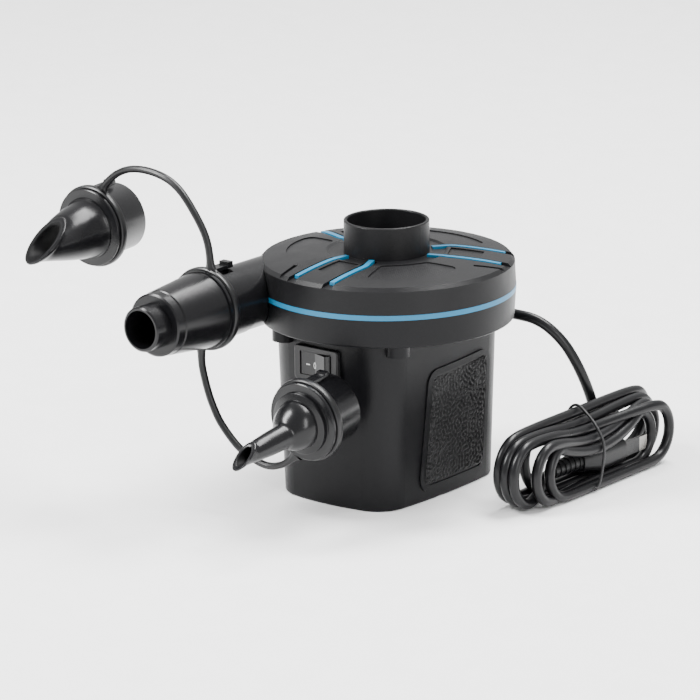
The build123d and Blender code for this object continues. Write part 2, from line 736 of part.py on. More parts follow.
with BuildPart() as carbon_brushes:
    for side in (1, -1):
        with BuildSketch(Plane.XZ.offset(-side * BRUSH_TIP)):
            with Locations((0, BRUSH_Z)):
                Rectangle(5.0, 4.4)
        extrude(amount=-side * 9.5)
carbon_brushes.part.label = "carbon_brushes"
export_step(carbon_brushes.part, "parts/carbon_brushes.step")

SPRING_START = BRUSH_TIP + 9.5
with BuildPart() as brush_springs:
    for side in (1, -1):
        coil_plane = Plane(
            origin=(0, side * SPRING_START, BRUSH_Z), x_dir=(1, 0, 0), z_dir=(0, side, 0)
        )
        for turn in range(5):
            with BuildSketch(coil_plane.offset(0.1 + 1.1 * turn)):
                Circle(1.8)
                Circle(1.35, mode=Mode.SUBTRACT)
            extrude(amount=1.0 if turn < 4 else 1.2)
            if turn < 4:
                with BuildSketch(coil_plane.offset(1.0 + 1.1 * turn)):
                    with Locations(polar(1.55, 90 * turn)):
                        Circle(0.24)
                extrude(amount=0.4)
brush_springs.part.label = "brush_springs"
export_step(brush_springs.part, "parts/brush_springs.step")

# ---------------------------------------------------------------- rocker switch
with BuildPart() as switch_frame:
    with BuildSketch(Plane.XZ.offset(44.0)):
        with Locations((SWITCH_X, SWITCH_Z)):
            RectangleRounded(23.0, 15.0, 1.6)
    extrude(amount=-SWITCH_FACE_Y - 44.0)
    fillet(switch_frame.faces().sort_by(Axis.Y)[0].edges(), 0.5)
    add(body_solid(0, DRUM_BOTTOM), mode=Mode.SUBTRACT)
    with BuildSketch(Plane.XZ.offset(38.0)):
        with Locations((SWITCH_X, SWITCH_Z)):
            Rectangle(SLEEVE_WIDTH, SLEEVE_HEIGHT)
    extrude(amount=8.0)
    with BuildSketch(Plane.XZ.offset(30.0)):
        with Locations((SWITCH_X, SWITCH_Z)):
            RectangleRounded(2 * ROCKER_R + 0.4, ROCKER_HEIGHT + 0.4, 0.4)
    extrude(amount=20.0, mode=Mode.SUBTRACT)
    # Sockets for the rocker's pivot pins
    with BuildSketch(Plane.XY.offset(SWITCH_Z - 6.05)):
        with Locations((SWITCH_X, ROCKER_PIVOT_Y)):
            Circle(0.9 + FIT)
    extrude(amount=12.1, mode=Mode.SUBTRACT)
switch_frame.part.label = "switch_frame"
export_step(switch_frame.part, "parts/switch_frame.step")

ROCKER = Plane(origin=(SWITCH_X, ROCKER_PIVOT_Y, 0), x_dir=(1, 0, 0), z_dir=(0, 0, 1))
with BuildPart() as rocker:
    with BuildSketch(ROCKER.rotated((0, 0, -ROCKER_TRAVEL / 2)).offset(SWITCH_Z - ROCKER_HEIGHT / 2)):
        Circle(ROCKER_R)
        with BuildLine():
            Polyline(
                (-10, 1.6), (-10, -4.2), (0, -2.6), (10, -4.2), (10, 1.6), close=True
            )
        make_face(mode=Mode.INTERSECT)
    extrude(amount=ROCKER_HEIGHT)
    fillet(rocker.edges().filter_by(Axis.Z).group_by(Axis.Y)[0], 0.5)
    with BuildSketch(ROCKER.offset(SWITCH_Z - 6.0)):
        Circle(0.9)
    extrude(amount=12.0)
rocker.part.label = "rocker"
export_step(rocker.part, "parts/rocker.step")

with BuildPart() as rocker_contact:
    with BuildSketch(ROCKER.rotated((0, 0, -ROCKER_TRAVEL / 2)).offset(SWITCH_Z - 2.0)):
        with Locations((0, 2.1)):
            Rectangle(10.0, 1.0)
    extrude(amount=4.0)
rocker_contact.part.label = "rocker_contact"
export_step(rocker_contact.part, "parts/rocker_contact.step")

with BuildPart() as switch_body:
    with BuildSketch(Plane.XZ.offset(31.0)):
        with Locations((SWITCH_X, SWITCH_Z)):
            Rectangle(SLEEVE_WIDTH, SLEEVE_HEIGHT)
    extrude(amount=7.0)
    with BuildSketch(Plane.XZ.offset(30.0)):
        with Locations((SWITCH_X - 5.0, SWITCH_Z), (SWITCH_X + 5.0, SWITCH_Z)):
            Rectangle(0.8, 4.8)
    extrude(amount=9.0, mode=Mode.SUBTRACT)
switch_body.part.label = "switch_body"
export_step(switch_body.part, "parts/switch_body.step")

with BuildPart() as switch_terminals:
    with BuildSketch(Plane.XZ.offset(24.0)):
        with Locations((SWITCH_X - 5.0, SWITCH_Z), (SWITCH_X + 5.0, SWITCH_Z)):
            Rectangle(0.8, 4.8)
    extrude(amount=14.5)
switch_terminals.part.label = "switch_terminals"
export_step(switch_terminals.part, "parts/switch_terminals.step")


# ---------------------------------------------------------------- nozzles
def nozzle_plane(x, z, pitch):
    """Origin in the ring's plane; local +x is world +X and local +z points forward."""
    lean = radians(pitch)
    return Plane(origin=(x, RING_Y, z), x_dir=(1, 0, 0), z_dir=(0, -cos(lean), -sin(lean)))


def profile_plane(seat):
    """Plane of a nozzle's turned profile: local x is the radius, local y points forward."""
    return Plane(origin=seat.origin, x_dir=(1, 0, 0), z_dir=-seat.y_dir)


def side_plane(seat):
    """Plane of a nozzle's side view: local x points forward, local y up."""
    return Plane(origin=seat.origin, x_dir=seat.z_dir, z_dir=(-1, 0, 0))


def nozzle_base(seat):
    """Skirt, flange and latch arm, the same on all three nozzles."""
    axis = Axis(seat.origin, seat.z_dir)
    with BuildPart() as base:
        with BuildSketch(profile_plane(seat)):
            with BuildLine():
                Polyline(
                    (SKIRT_BORE_R, -SKIRT_LENGTH), (SKIRT_R, -SKIRT_LENGTH), (SKIRT_R, 0),
                    (FLANGE_R, 0), (FLANGE_R, FLANGE_THICK), (SKIRT_BORE_R - 2.5, FLANGE_THICK),
                    (SKIRT_BORE_R, -1.5), close=True,
                )
            make_face()
        revolve(axis=axis)
        # Window in the skirt under the latch arm
        with BuildSketch(seat.offset(-15.0)):
            with Locations((0, SKIRT_R)):
                Rectangle(9.0, 6.0)
        extrude(amount=11.0, mode=Mode.SUBTRACT)
        # Groove for the spigot's lug, open at the skirt's rear, a twist long
        with BuildSketch(seat.offset(-SKIRT_LENGTH - 1)):
            with BuildLine():
                Polyline((0, 0), polar(20, 56), polar(20, 98), close=True)
            make_face()
            Circle(LUG_R + 0.25, mode=Mode.INTERSECT)
        extrude(amount=15.5, mode=Mode.SUBTRACT)
        # Latch arm, free behind the ring
        with BuildSketch(seat.offset(FLANGE_THICK)):
            with Locations((0, LATCH_R)):
                Rectangle(5.0, LATCH_THICK)
        extrude(amount=-17.0 - FLANGE_THICK)
        with BuildSketch(seat.offset(-17.0)):
            with Locations((0, LATCH_R + 0.6)):
                Rectangle(5.0, LATCH_THICK + 1.2)
        extrude(amount=3.0)
    return base.part


LATCH_R = 15.9
LATCH_THICK = 1.4
LARGE_SEAT = nozzle_plane(PORT_X, PORT_Z, 0)
MEDIUM_SEAT = nozzle_plane(MEDIUM_X, MEDIUM_Z, MEDIUM_PITCH)
SMALL_SEAT = nozzle_plane(SMALL_X, SMALL_Z, SMALL_PITCH)
TIP_R = 9.5
TIP_BORE_R = 8.1
TIP_END = 40.1  # forward of the ring's plane

with BuildPart() as large_nozzle:
    add(nozzle_base(LARGE_SEAT))
    with BuildSketch(profile_plane(LARGE_SEAT)):
        with BuildLine():
            Polyline(
                (16.2, FLANGE_THICK), (13.8, 26.4), (13.2, 26.9), (13.6, 27.3), (13.4, 30.9),
                (12.6, 31.4), (TIP_R, 31.4), (TIP_R, TIP_END - 0.6),
                (TIP_R - 0.6, TIP_END), (TIP_BORE_R, TIP_END), (TIP_BORE_R, 29.8),
                (11.8, 29.4), (12.2, 26.0), (14.4, FLANGE_THICK), close=True,
            )
        make_face()
    revolve(axis=Axis(LARGE_SEAT.origin, LARGE_SEAT.z_dir))
large_nozzle.part.label = "large_nozzle"
export_step(large_nozzle.part, "parts/large_nozzle.step")

with BuildPart() as medium_nozzle:
    with BuildSketch(profile_plane(MEDIUM_SEAT)):
        with BuildLine():
            Polyline(
                (SKIRT_BORE_R - 2.2, FLANGE_THICK), (13.2, FLANGE_THICK), (13.2, 2.6), (12.4, 3.0),
                (8.4, 22.0), (7.2, 36.5),
            )
            ThreePointArc((7.2, 36.5), (5.0, 41.6), (0, 43.6))
            Polyline((0, 43.6), (0, 41.8))
            ThreePointArc((0, 41.8), (3.9, 40.1), (5.4, 36.0))
            Polyline((5.4, 36.0), (6.6, 22.0), (SKIRT_BORE_R - 2.5, FLANGE_THICK), (10.9, FLANGE_THICK))
        make_face()
    revolve(axis=Axis(MEDIUM_SEAT.origin, MEDIUM_SEAT.z_dir))
    # Slanted mouth
    with BuildSketch(side_plane(MEDIUM_SEAT)):
        with BuildLine():
            Polyline((20.0, 9.5), (44.5, -5.2), (60, -5.2), (60, 20), (20, 20), close=True)
        make_face()
    extrude(amount=20, both=True, mode=Mode.SUBTRACT)
    # Rib under the cone
    with BuildSketch(side_plane(MEDIUM_SEAT)):
        with BuildLine():
            Polyline((16.0, -9.0), (18.5, -10.9), (22.5, -10.2), (25.5, -7.6), close=True)
        make_face()
    extrude(amount=1.0, both=True)
    add(nozzle_base(MEDIUM_SEAT))
medium_nozzle.part.label = "medium_nozzle"
export_step(medium_nozzle.part, "parts/medium_nozzle.step")

TUBE_DROP = 2.5  # the small nozzle's tube sits below the axis
TUBE_SEAT = Plane(
    origin=SMALL_SEAT.origin - SMALL_SEAT.y_dir * TUBE_DROP,
    x_dir=(1, 0, 0),
    z_dir=SMALL_SEAT.z_dir,
)
with BuildPart() as small_nozzle:
    with BuildSketch(SMALL_SEAT.offset(FLANGE_THICK)):
        Circle(13.4)
    extrude(amount=2.4)
    fillet(small_nozzle.faces().sort_by(Axis.Y)[0].edges(), 0.5)
    with BuildSketch(SMALL_SEAT.offset(FLANGE_THICK)):
        Circle(10.2)
    with BuildSketch(TUBE_SEAT.offset(11.5)):
        Circle(6.0)
    loft()
    with BuildSketch(profile_plane(TUBE_SEAT)):
        with BuildLine():
            Polyline((0, 9.0), (5.6, 9.0), (4.3, 45.8))
            ThreePointArc((4.3, 45.8), (3.1, 49.0), (0, 50.2))
            Line((0, 50.2), (0, 9.0))
        make_face()
    revolve(axis=Axis(TUBE_SEAT.origin, TUBE_SEAT.z_dir))
    # Bore, mouth and the eye through the lower lip
    with BuildSketch(SMALL_SEAT.offset(FLANGE_THICK - 0.5)):
        Circle(8.4)
    with BuildSketch(TUBE_SEAT.offset(10.5)):
        Circle(3.6)
    loft(mode=Mode.SUBTRACT)
    with BuildSketch(profile_plane(TUBE_SEAT)):
        with BuildLine():
            Polyline((0, 10.0), (3.6, 10.0), (2.3, 41.0), (2.3, 47.2), (0, 47.2), close=True)
        make_face()
    revolve(axis=Axis(TUBE_SEAT.origin, TUBE_SEAT.z_dir), mode=Mode.SUBTRACT)
    with BuildSketch(side_plane(TUBE_SEAT)):
        with BuildLine():
            Polyline((35.0, 5.0), (51.0, -1.4), (60, -1.4), (60, 9), (35, 9), close=True)
        make_face()
    extrude(amount=10, both=True, mode=Mode.SUBTRACT)
    with BuildSketch(Plane(origin=TUBE_SEAT.origin, x_dir=(1, 0, 0), z_dir=TUBE_SEAT.y_dir)):
        with Locations((0, -42.6)):
            SlotOverall(9.4, 4.4, rotation=90)
    extrude(amount=-8, mode=Mode.SUBTRACT)
    add(nozzle_base(SMALL_SEAT))
small_nozzle.part.label = "small_nozzle"
export_step(small_nozzle.part, "parts/small_nozzle.step")


# ---------------------------------------------------------------- tether
def tether_ring(seat, notch_start, notch_end):
    """The ring a nozzle snaps into, notched on the inside for the latch arm."""
    with BuildPart() as ring:
        with BuildSketch(seat.offset(-TETHER_GAP)):
            Circle(TETHER_RING_R)
            Circle(TETHER_RING_BORE, mode=Mode.SUBTRACT)
        extrude(amount=-TETHER_THICK)
        with BuildSketch(seat.offset(1)):
            with BuildLine():
                Polyline((0, 0), polar(30, notch_start), polar(30, notch_end), close=True)
            make_face()
            Circle(LATCH_R + LATCH_THICK / 2 + 0.3, mode=Mode.INTERSECT)
        extrude(amount=-TETHER_THICK - 2, mode=Mode.SUBTRACT)
    return ring.part


def strap(*points):
    """A stretch of the flat strap, along points given from the large ring's centre."""
    with BuildPart() as stretch:
        with BuildSketch(LARGE_SEAT.offset(-TETHER_GAP)):
            with BuildLine() as centre:
                Spline(*points)
            trace(centre.line, line_width=STRAP_WIDTH)
        extrude(amount=-TETHER_THICK)
    return stretch.part


def nozzle_room(seat):
    """The space that a ring leaves free for its nozzle's flange and skirt."""
    with BuildPart() as room:
        with BuildSketch(seat.offset(-TETHER_GAP)):
            Circle(FLANGE_R + 0.2)
        extrude(amount=4)
        with BuildSketch(seat.offset(-TETHER_GAP)):
            Circle(TETHER_RING_BORE)
        extrude(amount=-8)
    return room.part


def along(point, direction, distance):
    return (point[0] + direction[0] * distance, point[1] + direction[1] * distance)


UPPER_FLEX = (-8.5, 44.3)
UPPER_RUN = (-0.632, 0.775)
LOWER_FLEX = (3.3, -43.0)
LOWER_RUN = (0.469, -0.883)
with BuildPart() as tether_hub:
    add(strap((3.2, 17.4), (1.8, 27.1), (-0.8, 34.0), along(UPPER_FLEX, UPPER_RUN, -STRAP_SPLIT / 2)))
    add(strap((-3.2, -16.0), (-2.8, -26.5), (0.5, -37.3), along(LOWER_FLEX, LOWER_RUN, -STRAP_SPLIT / 2)))
    add(tether_ring(LARGE_SEAT, 78, 127))
tether_hub.part.label = "tether_hub"
export_step(tether_hub.part, "parts/tether_hub.step")

with BuildPart() as tether_upper:
    add(
        strap(
            along(UPPER_FLEX, UPPER_RUN, STRAP_SPLIT / 2), (-13.6, 49.4), (-19.4, 52.8),
            (-27.6, 54.8), (-38.1, 54.9), (-47.6, 51.8), (-54.2, 46.0), (-56.4, 42.6),
        )
    )
    add(nozzle_room(MEDIUM_SEAT), mode=Mode.SUBTRACT)
    add(tether_ring(MEDIUM_SEAT, 79, 101))
tether_upper.part.label = "tether_upper"
export_step(tether_upper.part, "parts/tether_upper.step")

with BuildPart() as tether_lower:
    add(
        strap(
            along(LOWER_FLEX, LOWER_RUN, STRAP_SPLIT / 2), (6.5, -48.6), (14.0, -56.0),
            (19.3, -59.4), (29.0, -63.0), (36.6, -62.6), (43.6, -59.0), (47.5, -55.0),
        )
    )
    add(nozzle_room(SMALL_SEAT), mode=Mode.SUBTRACT)
    add(tether_ring(SMALL_SEAT, 79, 101))
tether_lower.part.label = "tether_lower"
export_step(tether_lower.part, "parts/tether_lower.step")

# ---------------------------------------------------------------- inner wiring
with BuildPart() as suppression_capacitor:
    with BuildSketch(Plane.XY.offset(BODY_FLOOR)):
        with Locations((0, 30)):
            Rectangle(18, 6)
    extrude(amount=12)
    fillet(suppression_capacitor.edges().filter_by(Axis.Z), 0.8)
suppression_capacitor.part.label = "suppression_capacitor"
export_step(suppression_capacitor.part, "parts/suppression_capacitor.step")

WIRE_R = 0.8
WIRE_Z = 62.4
SUPPLY_LEAD = (
    (SWITCH_X - 5.0, -24.0, SWITCH_Z), (SWITCH_X - 5.0, -17.0, SWITCH_Z), (-13.0, -8.0, WIRE_Z),
    (-13.0, 24.0, WIRE_Z), (-5.0, 36.0, 67.4), (-4.0, 43.0, 67.4),
)
COIL_LEAD = (
    (SWITCH_X + 5.0, -24.0, SWITCH_Z), (SWITCH_X + 5.0, -17.0, SWITCH_Z), (12.0, -6.0, WIRE_Z),
    (11.0, 8.0, WIRE_Z), (10.0, 14.7, 65.0), (10.0, 14.7, 59.5),
)
with BuildPart() as lead_wires:
    for lead in (SUPPLY_LEAD, COIL_LEAD):
        with BuildLine() as lead_path:
            FilletPolyline(*lead, radius=2.0)
        with BuildSketch(Plane(origin=lead_path.line @ 0, z_dir=lead_path.line % 0)):
            Circle(WIRE_R)
        sweep(path=lead_path.line)
lead_wires.part.label = "lead_wires"
export_step(lead_wires.part, "parts/lead_wires.step")

# ---------------------------------------------------------------- mains cord
BOOT_LENGTH = 22.0
with BuildPart() as cord_strain_relief:
    with BuildSketch(Plane(origin=CORD_ROUTE[0], x_dir=(0, 1, 0), z_dir=(0, 0, 1))):
        with BuildLine():
            Polyline(
                (2.65, 0), (4.6, 0), (4.6, -3.0), (4.0, -3.6), (3.3, -BOOT_LENGTH), (2.65, -BOOT_LENGTH),
                close=True,
            )
        make_face()
    revolve(axis=Axis(CORD_ROUTE[0], (1, 0, 0)))
cord_strain_relief.part.label = "cord_strain_relief"
export_step(cord_strain_relief.part, "parts/cord_strain_relief.step")


def bend_radii(route):
    """The largest arc each corner has room for: 0.45 of its shorter run."""
    points = [Vector(*point) for point in route]
    radii = []
    for before, corner, after in zip(points, points[1:], points[2:]):
        turn = radians((corner - before).get_angle(after - corner))
        shorter = min((corner - before).length, (after - corner).length)
        radii.append(0.45 * shorter / tan(turn / 2))
    return radii


CORD_RADII = bend_radii(CORD_ROUTE)
print("cord bend radii", [round(radius, 1) for radius in CORD_RADII])
# ---------------------------------------------------------------- hank, plug and tie
HANK = Plane.YZ.offset(HANK_X)
SLOT_Z = 10.7
SLOT_HEIGHT = 12.6
SLOT_LENGTH = 96.0
TIE_Y = 41.0
TIE_R = 0.9
PLUG_X = 68.8
PLUG_Z = 10.4
RELIEF_START_Y = 24.0
RELIEF_LENGTH = 18.0
PLUG_LENGTH = 26.0
BLADE_LENGTH = 17.5
with BuildPart() as cord_hank:
    with BuildSketch(HANK.offset(-HANK_THICK / 2)):
        with Locations((HANK_Y, HANK_HEIGHT / 2)):
            SlotOverall(HANK_LENGTH, HANK_HEIGHT)
    extrude(amount=HANK_THICK)
    with BuildSketch():
        with BuildLine():
            Polyline(*HANK_PLAN, close=True)
        make_face()
    extrude(amount=HANK_HEIGHT, mode=Mode.INTERSECT)
    with BuildSketch(HANK.offset(-HANK_THICK)):
        with Locations((HANK_Y, SLOT_Z)):
            SlotOverall(SLOT_LENGTH, SLOT_HEIGHT)
    extrude(amount=2 * HANK_THICK, mode=Mode.SUBTRACT)
    # Waist under the tie
    with BuildSketch(Plane.XZ.offset(-TIE_Y - 1.3)):
        with Locations((HANK_X, HANK_HEIGHT / 2)):
            Rectangle(HANK_THICK + 2, HANK_HEIGHT + 2)
            RectangleRounded(HANK_THICK - 4 * TIE_R, HANK_HEIGHT - 4 * TIE_R, 4.0, mode=Mode.SUBTRACT)
    extrude(amount=2.6, mode=Mode.SUBTRACT)
    # The last of the cord, from the turns to the plug's strain relief
    with BuildSketch(Plane.XZ.offset(-RELIEF_START_Y)):
        with Locations((PLUG_X, PLUG_Z)):
            Circle(CORD_D / 2)
    extrude(amount=RELIEF_START_Y + 3.0)
cord_hank.part.label = "cord_hank"
export_step(cord_hank.part, "parts/cord_hank.step")

with BuildPart() as mains_cord:
    with BuildLine() as cord_path:
        FilletPolyline(*CORD_ROUTE, radius=CORD_RADII)
    with BuildSketch(Plane(origin=cord_path.line @ 0, z_dir=cord_path.line % 0)):
        Circle(CORD_D / 2)
    sweep(path=cord_path.line)
    route_length = sum(edge.length for edge in cord_path.edges())
    print("cord tube", mains_cord.part.volume, "section x length", pi * (CORD_D / 2) ** 2 * route_length)
mains_cord.part.label = "mains_cord"
export_step(mains_cord.part, "parts/mains_cord.step")

with BuildPart() as cord_tie:
    with BuildLine(Plane.XZ.offset(-TIE_Y)) as tie_path:
        FilletPolyline(
            (HANK_X + HANK_THICK / 2 - TIE_R, HANK_HEIGHT - TIE_R),
            (HANK_X + HANK_THICK / 2 - TIE_R, TIE_R),
            (HANK_X - HANK_THICK / 2 + TIE_R, TIE_R),
            (HANK_X - HANK_THICK / 2 + TIE_R, HANK_HEIGHT - TIE_R),
            radius=4.0 + TIE_R, close=True,
        )
    with BuildSketch(Plane(origin=tie_path.line @ 0, z_dir=tie_path.line % 0)):
        Circle(TIE_R)
    sweep(path=tie_path.line)
cord_tie.part.label = "cord_tie"
export_step(cord_tie.part, "parts/cord_tie.step")

RELIEF = Plane(origin=(PLUG_X, RELIEF_START_Y, PLUG_Z), x_dir=(1, 0, 0), z_dir=(0, 1, 0))
with BuildPart() as plug_strain_relief:
    with BuildSketch(RELIEF):
        Circle(3.2)
    with BuildSketch(RELIEF.offset(RELIEF_LENGTH)):
        Circle(4.3)
    loft()
    for rib in range(5):
        with BuildSketch(RELIEF.offset(2.0 + 3.2 * rib)):
            Circle(5.0)
            Circle(3.0 + 0.2 * rib, mode=Mode.SUBTRACT)
        extrude(amount=1.4, mode=Mode.SUBTRACT)
plug_strain_relief.part.label = "plug_strain_relief"
export_step(plug_strain_relief.part, "parts/plug_strain_relief.step")

with BuildPart() as plug_body:
    with BuildSketch(RELIEF.offset(RELIEF_LENGTH)):
        RectangleRounded(10.0, 9.0, 3.5)
    with BuildSketch(RELIEF.offset(RELIEF_LENGTH + 9.0)):
        RectangleRounded(17.0, 11.4, 4.0)
    loft()
    with BuildSketch(RELIEF.offset(RELIEF_LENGTH + 9.0)):
        RectangleRounded(17.0, 11.4, 4.0)
    extrude(amount=PLUG_LENGTH - 9.0)
plug_body.part.label = "plug_body"
export_step(plug_body.part, "parts/plug_body.step")

with BuildPart() as plug_pins:
    with BuildSketch(RELIEF.offset(RELIEF_LENGTH + PLUG_LENGTH)):
        with Locations((-6.35, 0), (6.35, 0)):
            Rectangle(1.5, 6.3)
    extrude(amount=BLADE_LENGTH)
    chamfer(plug_pins.faces().sort_by(Axis.Y)[-2:].edges(), 0.4)
plug_pins.part.label = "plug_pins"
export_step(plug_pins.part, "parts/plug_pins.step")
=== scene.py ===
import json
from math import atan2, cos, pi, radians, sin

import bmesh
import bpy
import numpy as np
from mathutils import Matrix, Vector
from mathutils.bvhtree import BVHTree


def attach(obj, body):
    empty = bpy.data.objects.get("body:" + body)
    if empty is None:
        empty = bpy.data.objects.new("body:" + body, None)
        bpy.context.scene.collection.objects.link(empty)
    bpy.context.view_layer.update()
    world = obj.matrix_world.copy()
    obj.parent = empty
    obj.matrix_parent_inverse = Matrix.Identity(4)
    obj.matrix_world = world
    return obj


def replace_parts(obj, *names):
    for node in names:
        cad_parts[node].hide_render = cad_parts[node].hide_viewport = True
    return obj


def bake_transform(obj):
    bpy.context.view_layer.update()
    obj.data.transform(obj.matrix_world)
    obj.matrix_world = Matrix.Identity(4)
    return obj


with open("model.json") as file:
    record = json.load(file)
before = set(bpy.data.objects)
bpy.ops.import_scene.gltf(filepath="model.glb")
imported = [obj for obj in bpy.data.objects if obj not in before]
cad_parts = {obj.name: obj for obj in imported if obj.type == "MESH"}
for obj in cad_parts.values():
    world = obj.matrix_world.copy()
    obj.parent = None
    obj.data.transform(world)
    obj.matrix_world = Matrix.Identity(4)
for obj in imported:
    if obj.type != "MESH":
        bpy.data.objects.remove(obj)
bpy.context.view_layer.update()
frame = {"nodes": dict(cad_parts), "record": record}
scene = bpy.context.scene
MM = 0.001


def v(x, y, z):
    """A point in the row frame, given in millimetres."""
    return Vector((x, y, z)) * MM


# ------------------------------------------------------------------ camera
BACK = Vector((0.5927, -0.7586, 0.2706))  # from the object towards the camera
RIGHT = Vector((0.7880, 0.6157, 0.0))
UP = BACK.cross(RIGHT)
LOOK_AT = v(0, 0, 55.5)
DISTANCE = 2.0
ROLL = radians(-0.5)
camera_data = bpy.data.cameras.new("camera")
camera = bpy.data.objects.new("camera", camera_data)
scene.collection.objects.link(camera)
axes = Matrix((RIGHT, UP, BACK)).transposed().to_4x4()
camera.matrix_world = (
    Matrix.Translation(LOOK_AT + BACK * DISTANCE) @ axes @ Matrix.Rotation(ROLL, 4, "Z")
)
camera_data.sensor_width = 36
camera_data.lens = 240.7
camera_data.shift_x = -0.0537
camera_data.shift_y = 0.0084
camera_data.clip_end = 20
scene.camera = camera


# ------------------------------------------------------------------ helpers
def new_object(name, data, body="pump"):
    """Links an object to the scene, riding on a body unless body is None."""
    obj = bpy.data.objects.new(name, data)
    scene.collection.objects.link(obj)
    if body:
        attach(obj, body)
    return obj


def mesh_object(name, vertices, faces, body="pump", smooth=True, sharp=35):
    """A mesh piece whose edges bent by more than sharp degrees stay sharp."""
    mesh = bpy.data.meshes.new(name)
    mesh.from_pydata([tuple(p) for p in vertices], [], faces)
    mesh.update()
    bm = bmesh.new()
    bm.from_mesh(mesh)
    bmesh.ops.recalc_face_normals(bm, faces=bm.faces)
    for edge in bm.edges:
        if len(edge.link_faces) == 2:
            edge.smooth = edge.calc_face_angle(0) < radians(sharp)
    for face in bm.faces:
        face.smooth = smooth
    bm.to_mesh(mesh)
    bm.free()
    return new_object(name, mesh, body)


def loft_mesh(rings, close_path=False):
    """Vertices and faces of a skin over rings of equal point counts, capped unless its path is closed."""
    count = len(rings[0])
    vertices = [p for ring in rings for p in ring]
    faces = []
    total = len(rings)
    for i in range(total if close_path else total - 1):
        for j in range(count):
            a = i * count + j
            b = i * count + (j + 1) % count
            c = (i + 1) % total * count + (j + 1) % count
            d = (i + 1) % total * count + j
            faces.append((a, b, c, d))
    if not close_path:
        faces.append(tuple(range(count))[::-1])
        faces.append(tuple((total - 1) * count + j for j in range(count)))
    return vertices, faces


# ------------------------------------------------------------------ materials
def plastic(name, colour, roughness, grain=0.05, grain_scale=2600, coat=0.0, variation=0.12,
            specular=0.325, metallic=0.0, rough_spread=0.12, soft_scale=60):
    """Moulded finish: fine spark-eroded grain, slow changes of tone and gloss."""
    material = bpy.data.materials.new(name)
    material.use_nodes = True
    nodes, links = material.node_tree.nodes, material.node_tree.links
    shader = nodes["Principled BSDF"]
    shader.inputs["Metallic"].default_value = metallic
    shader.inputs["Specular IOR Level"].default_value = specular
    shader.inputs["Coat Weight"].default_value = coat
    shader.inputs["Coat Roughness"].default_value = 0.2
    place = nodes.new("ShaderNodeTexCoord")
    slow = nodes.new("ShaderNodeTexNoise")
    slow.inputs["Scale"].default_value = soft_scale
    slow.inputs["Detail"].default_value = 4
    links.new(place.outputs["Object"], slow.inputs["Vector"])
    tone = nodes.new("ShaderNodeValToRGB")
    tone.color_ramp.elements[0].position = 0.3
    tone.color_ramp.elements[1].position = 0.7
    tone.color_ramp.elements[0].color = tuple(c * (1 - variation) for c in colour) + (1,)
    tone.color_ramp.elements[1].color = tuple(min(1, c * (1 + variation)) for c in colour) + (1,)
    links.new(slow.outputs["Fac"], tone.inputs["Fac"])
    links.new(tone.outputs["Color"], shader.inputs["Base Color"])
    fine = nodes.new("ShaderNodeTexNoise")
    fine.inputs["Scale"].default_value = grain_scale
    fine.inputs["Detail"].default_value = 2
    links.new(place.outputs["Object"], fine.inputs["Vector"])
    rough = nodes.new("ShaderNodeMapRange")
    rough.inputs["From Min"].default_value = 0.3
    rough.inputs["From Max"].default_value = 0.7
    rough.inputs["To Min"].default_value = roughness * (1 - rough_spread)
    rough.inputs["To Max"].default_value = roughness * (1 + rough_spread)
    links.new(slow.outputs["Fac"], rough.inputs["Value"])
    links.new(rough.outputs["Result"], shader.inputs["Roughness"])
    if grain > 0:
        bump = nodes.new("ShaderNodeBump")
        bump.inputs["Strength"].default_value = grain
        bump.inputs["Distance"].default_value = 0.0002
        links.new(fine.outputs["Fac"], bump.inputs["Height"])
        links.new(bump.outputs["Normal"], shader.inputs["Normal"])
    return material


def dress(material, *names):
    """Gives CAD nodes a finish, in their own material slots."""
    for name in names:
        for slot in frame["nodes"][name].material_slots:
            slot.material = material


def finish_piece(obj, material):
    """Gives a visual piece its material."""
    obj.data.materials.append(material)
    return obj


housing = plastic("housing_black", (0.0036, 0.0036, 0.0043), 0.36, grain=0.30, specular=0.143)
cover = plastic("cover_black", (0.0052, 0.0052, 0.0058), 0.40, grain=0.35, specular=0.1755)
grip = plastic("grip_black", (0.0030, 0.0030, 0.0034), 0.38, grain=0.3, specular=0.247)
accent = plastic("accent_blue", (0.007, 0.125, 0.235), 0.34, grain=0.12, variation=0.06)
nozzle = plastic("nozzle_black", (0.0036, 0.0036, 0.0042), 0.25, grain=0.08, specular=0.221, coat=0.08)
tether = plastic("tether_rubber", (0.0040, 0.0040, 0.0045), 0.34, grain=0.12)
switch_black = plastic("switch_black", (0.0085, 0.0085, 0.0090), 0.30, grain=0.10)
cord_black = plastic("cord_rubber", (0.0045, 0.0045, 0.0052), 0.31, specular=0.234, grain=0.12,
                     grain_scale=1500)
end_rubber = plastic("cord_end_rubber", (0.0060, 0.0060, 0.0066), 0.40, grain=0.2)
tie_grey = plastic("tie_grey", (0.018, 0.018, 0.019), 0.42, grain=0.15)
inner = plastic("inner_plastic", (0.16, 0.16, 0.165), 0.5)
impeller_white = plastic("impeller_plastic", (0.42, 0.42, 0.40), 0.42)
steel = plastic("steel", (0.55, 0.55, 0.56), 0.3, grain=0.05, metallic=1.0, variation=0.05)
lamination = plastic("lamination_steel", (0.30, 0.30, 0.31), 0.4, grain=0.1, metallic=1.0)
copper = plastic("copper", (0.62, 0.25, 0.12), 0.3, grain=0.05, metallic=1.0)
brass = plastic("brass", (0.66, 0.49, 0.22), 0.28, grain=0.03, metallic=1.0)
carbon = plastic("carbon", (0.03, 0.03, 0.03), 0.6)
capacitor = plastic("capacitor_plastic", (0.55, 0.42, 0.09), 0.4)
insulation = plastic("wire_insulation", (0.35, 0.05, 0.03), 0.45)
# Painted shade: the nozzle bores are the same plastic as the shell, coloured darker here to stand for the
# shade inside their mouths.
nozzle_bore_painted_shade = plastic("nozzle_bore_painted_shade", (0.0016, 0.0016, 0.0018), 0.62, grain=0.05, specular=0.0975)
white_print = plastic("white_print", (0.75, 0.75, 0.75), 0.5, grain=0, variation=0.03)
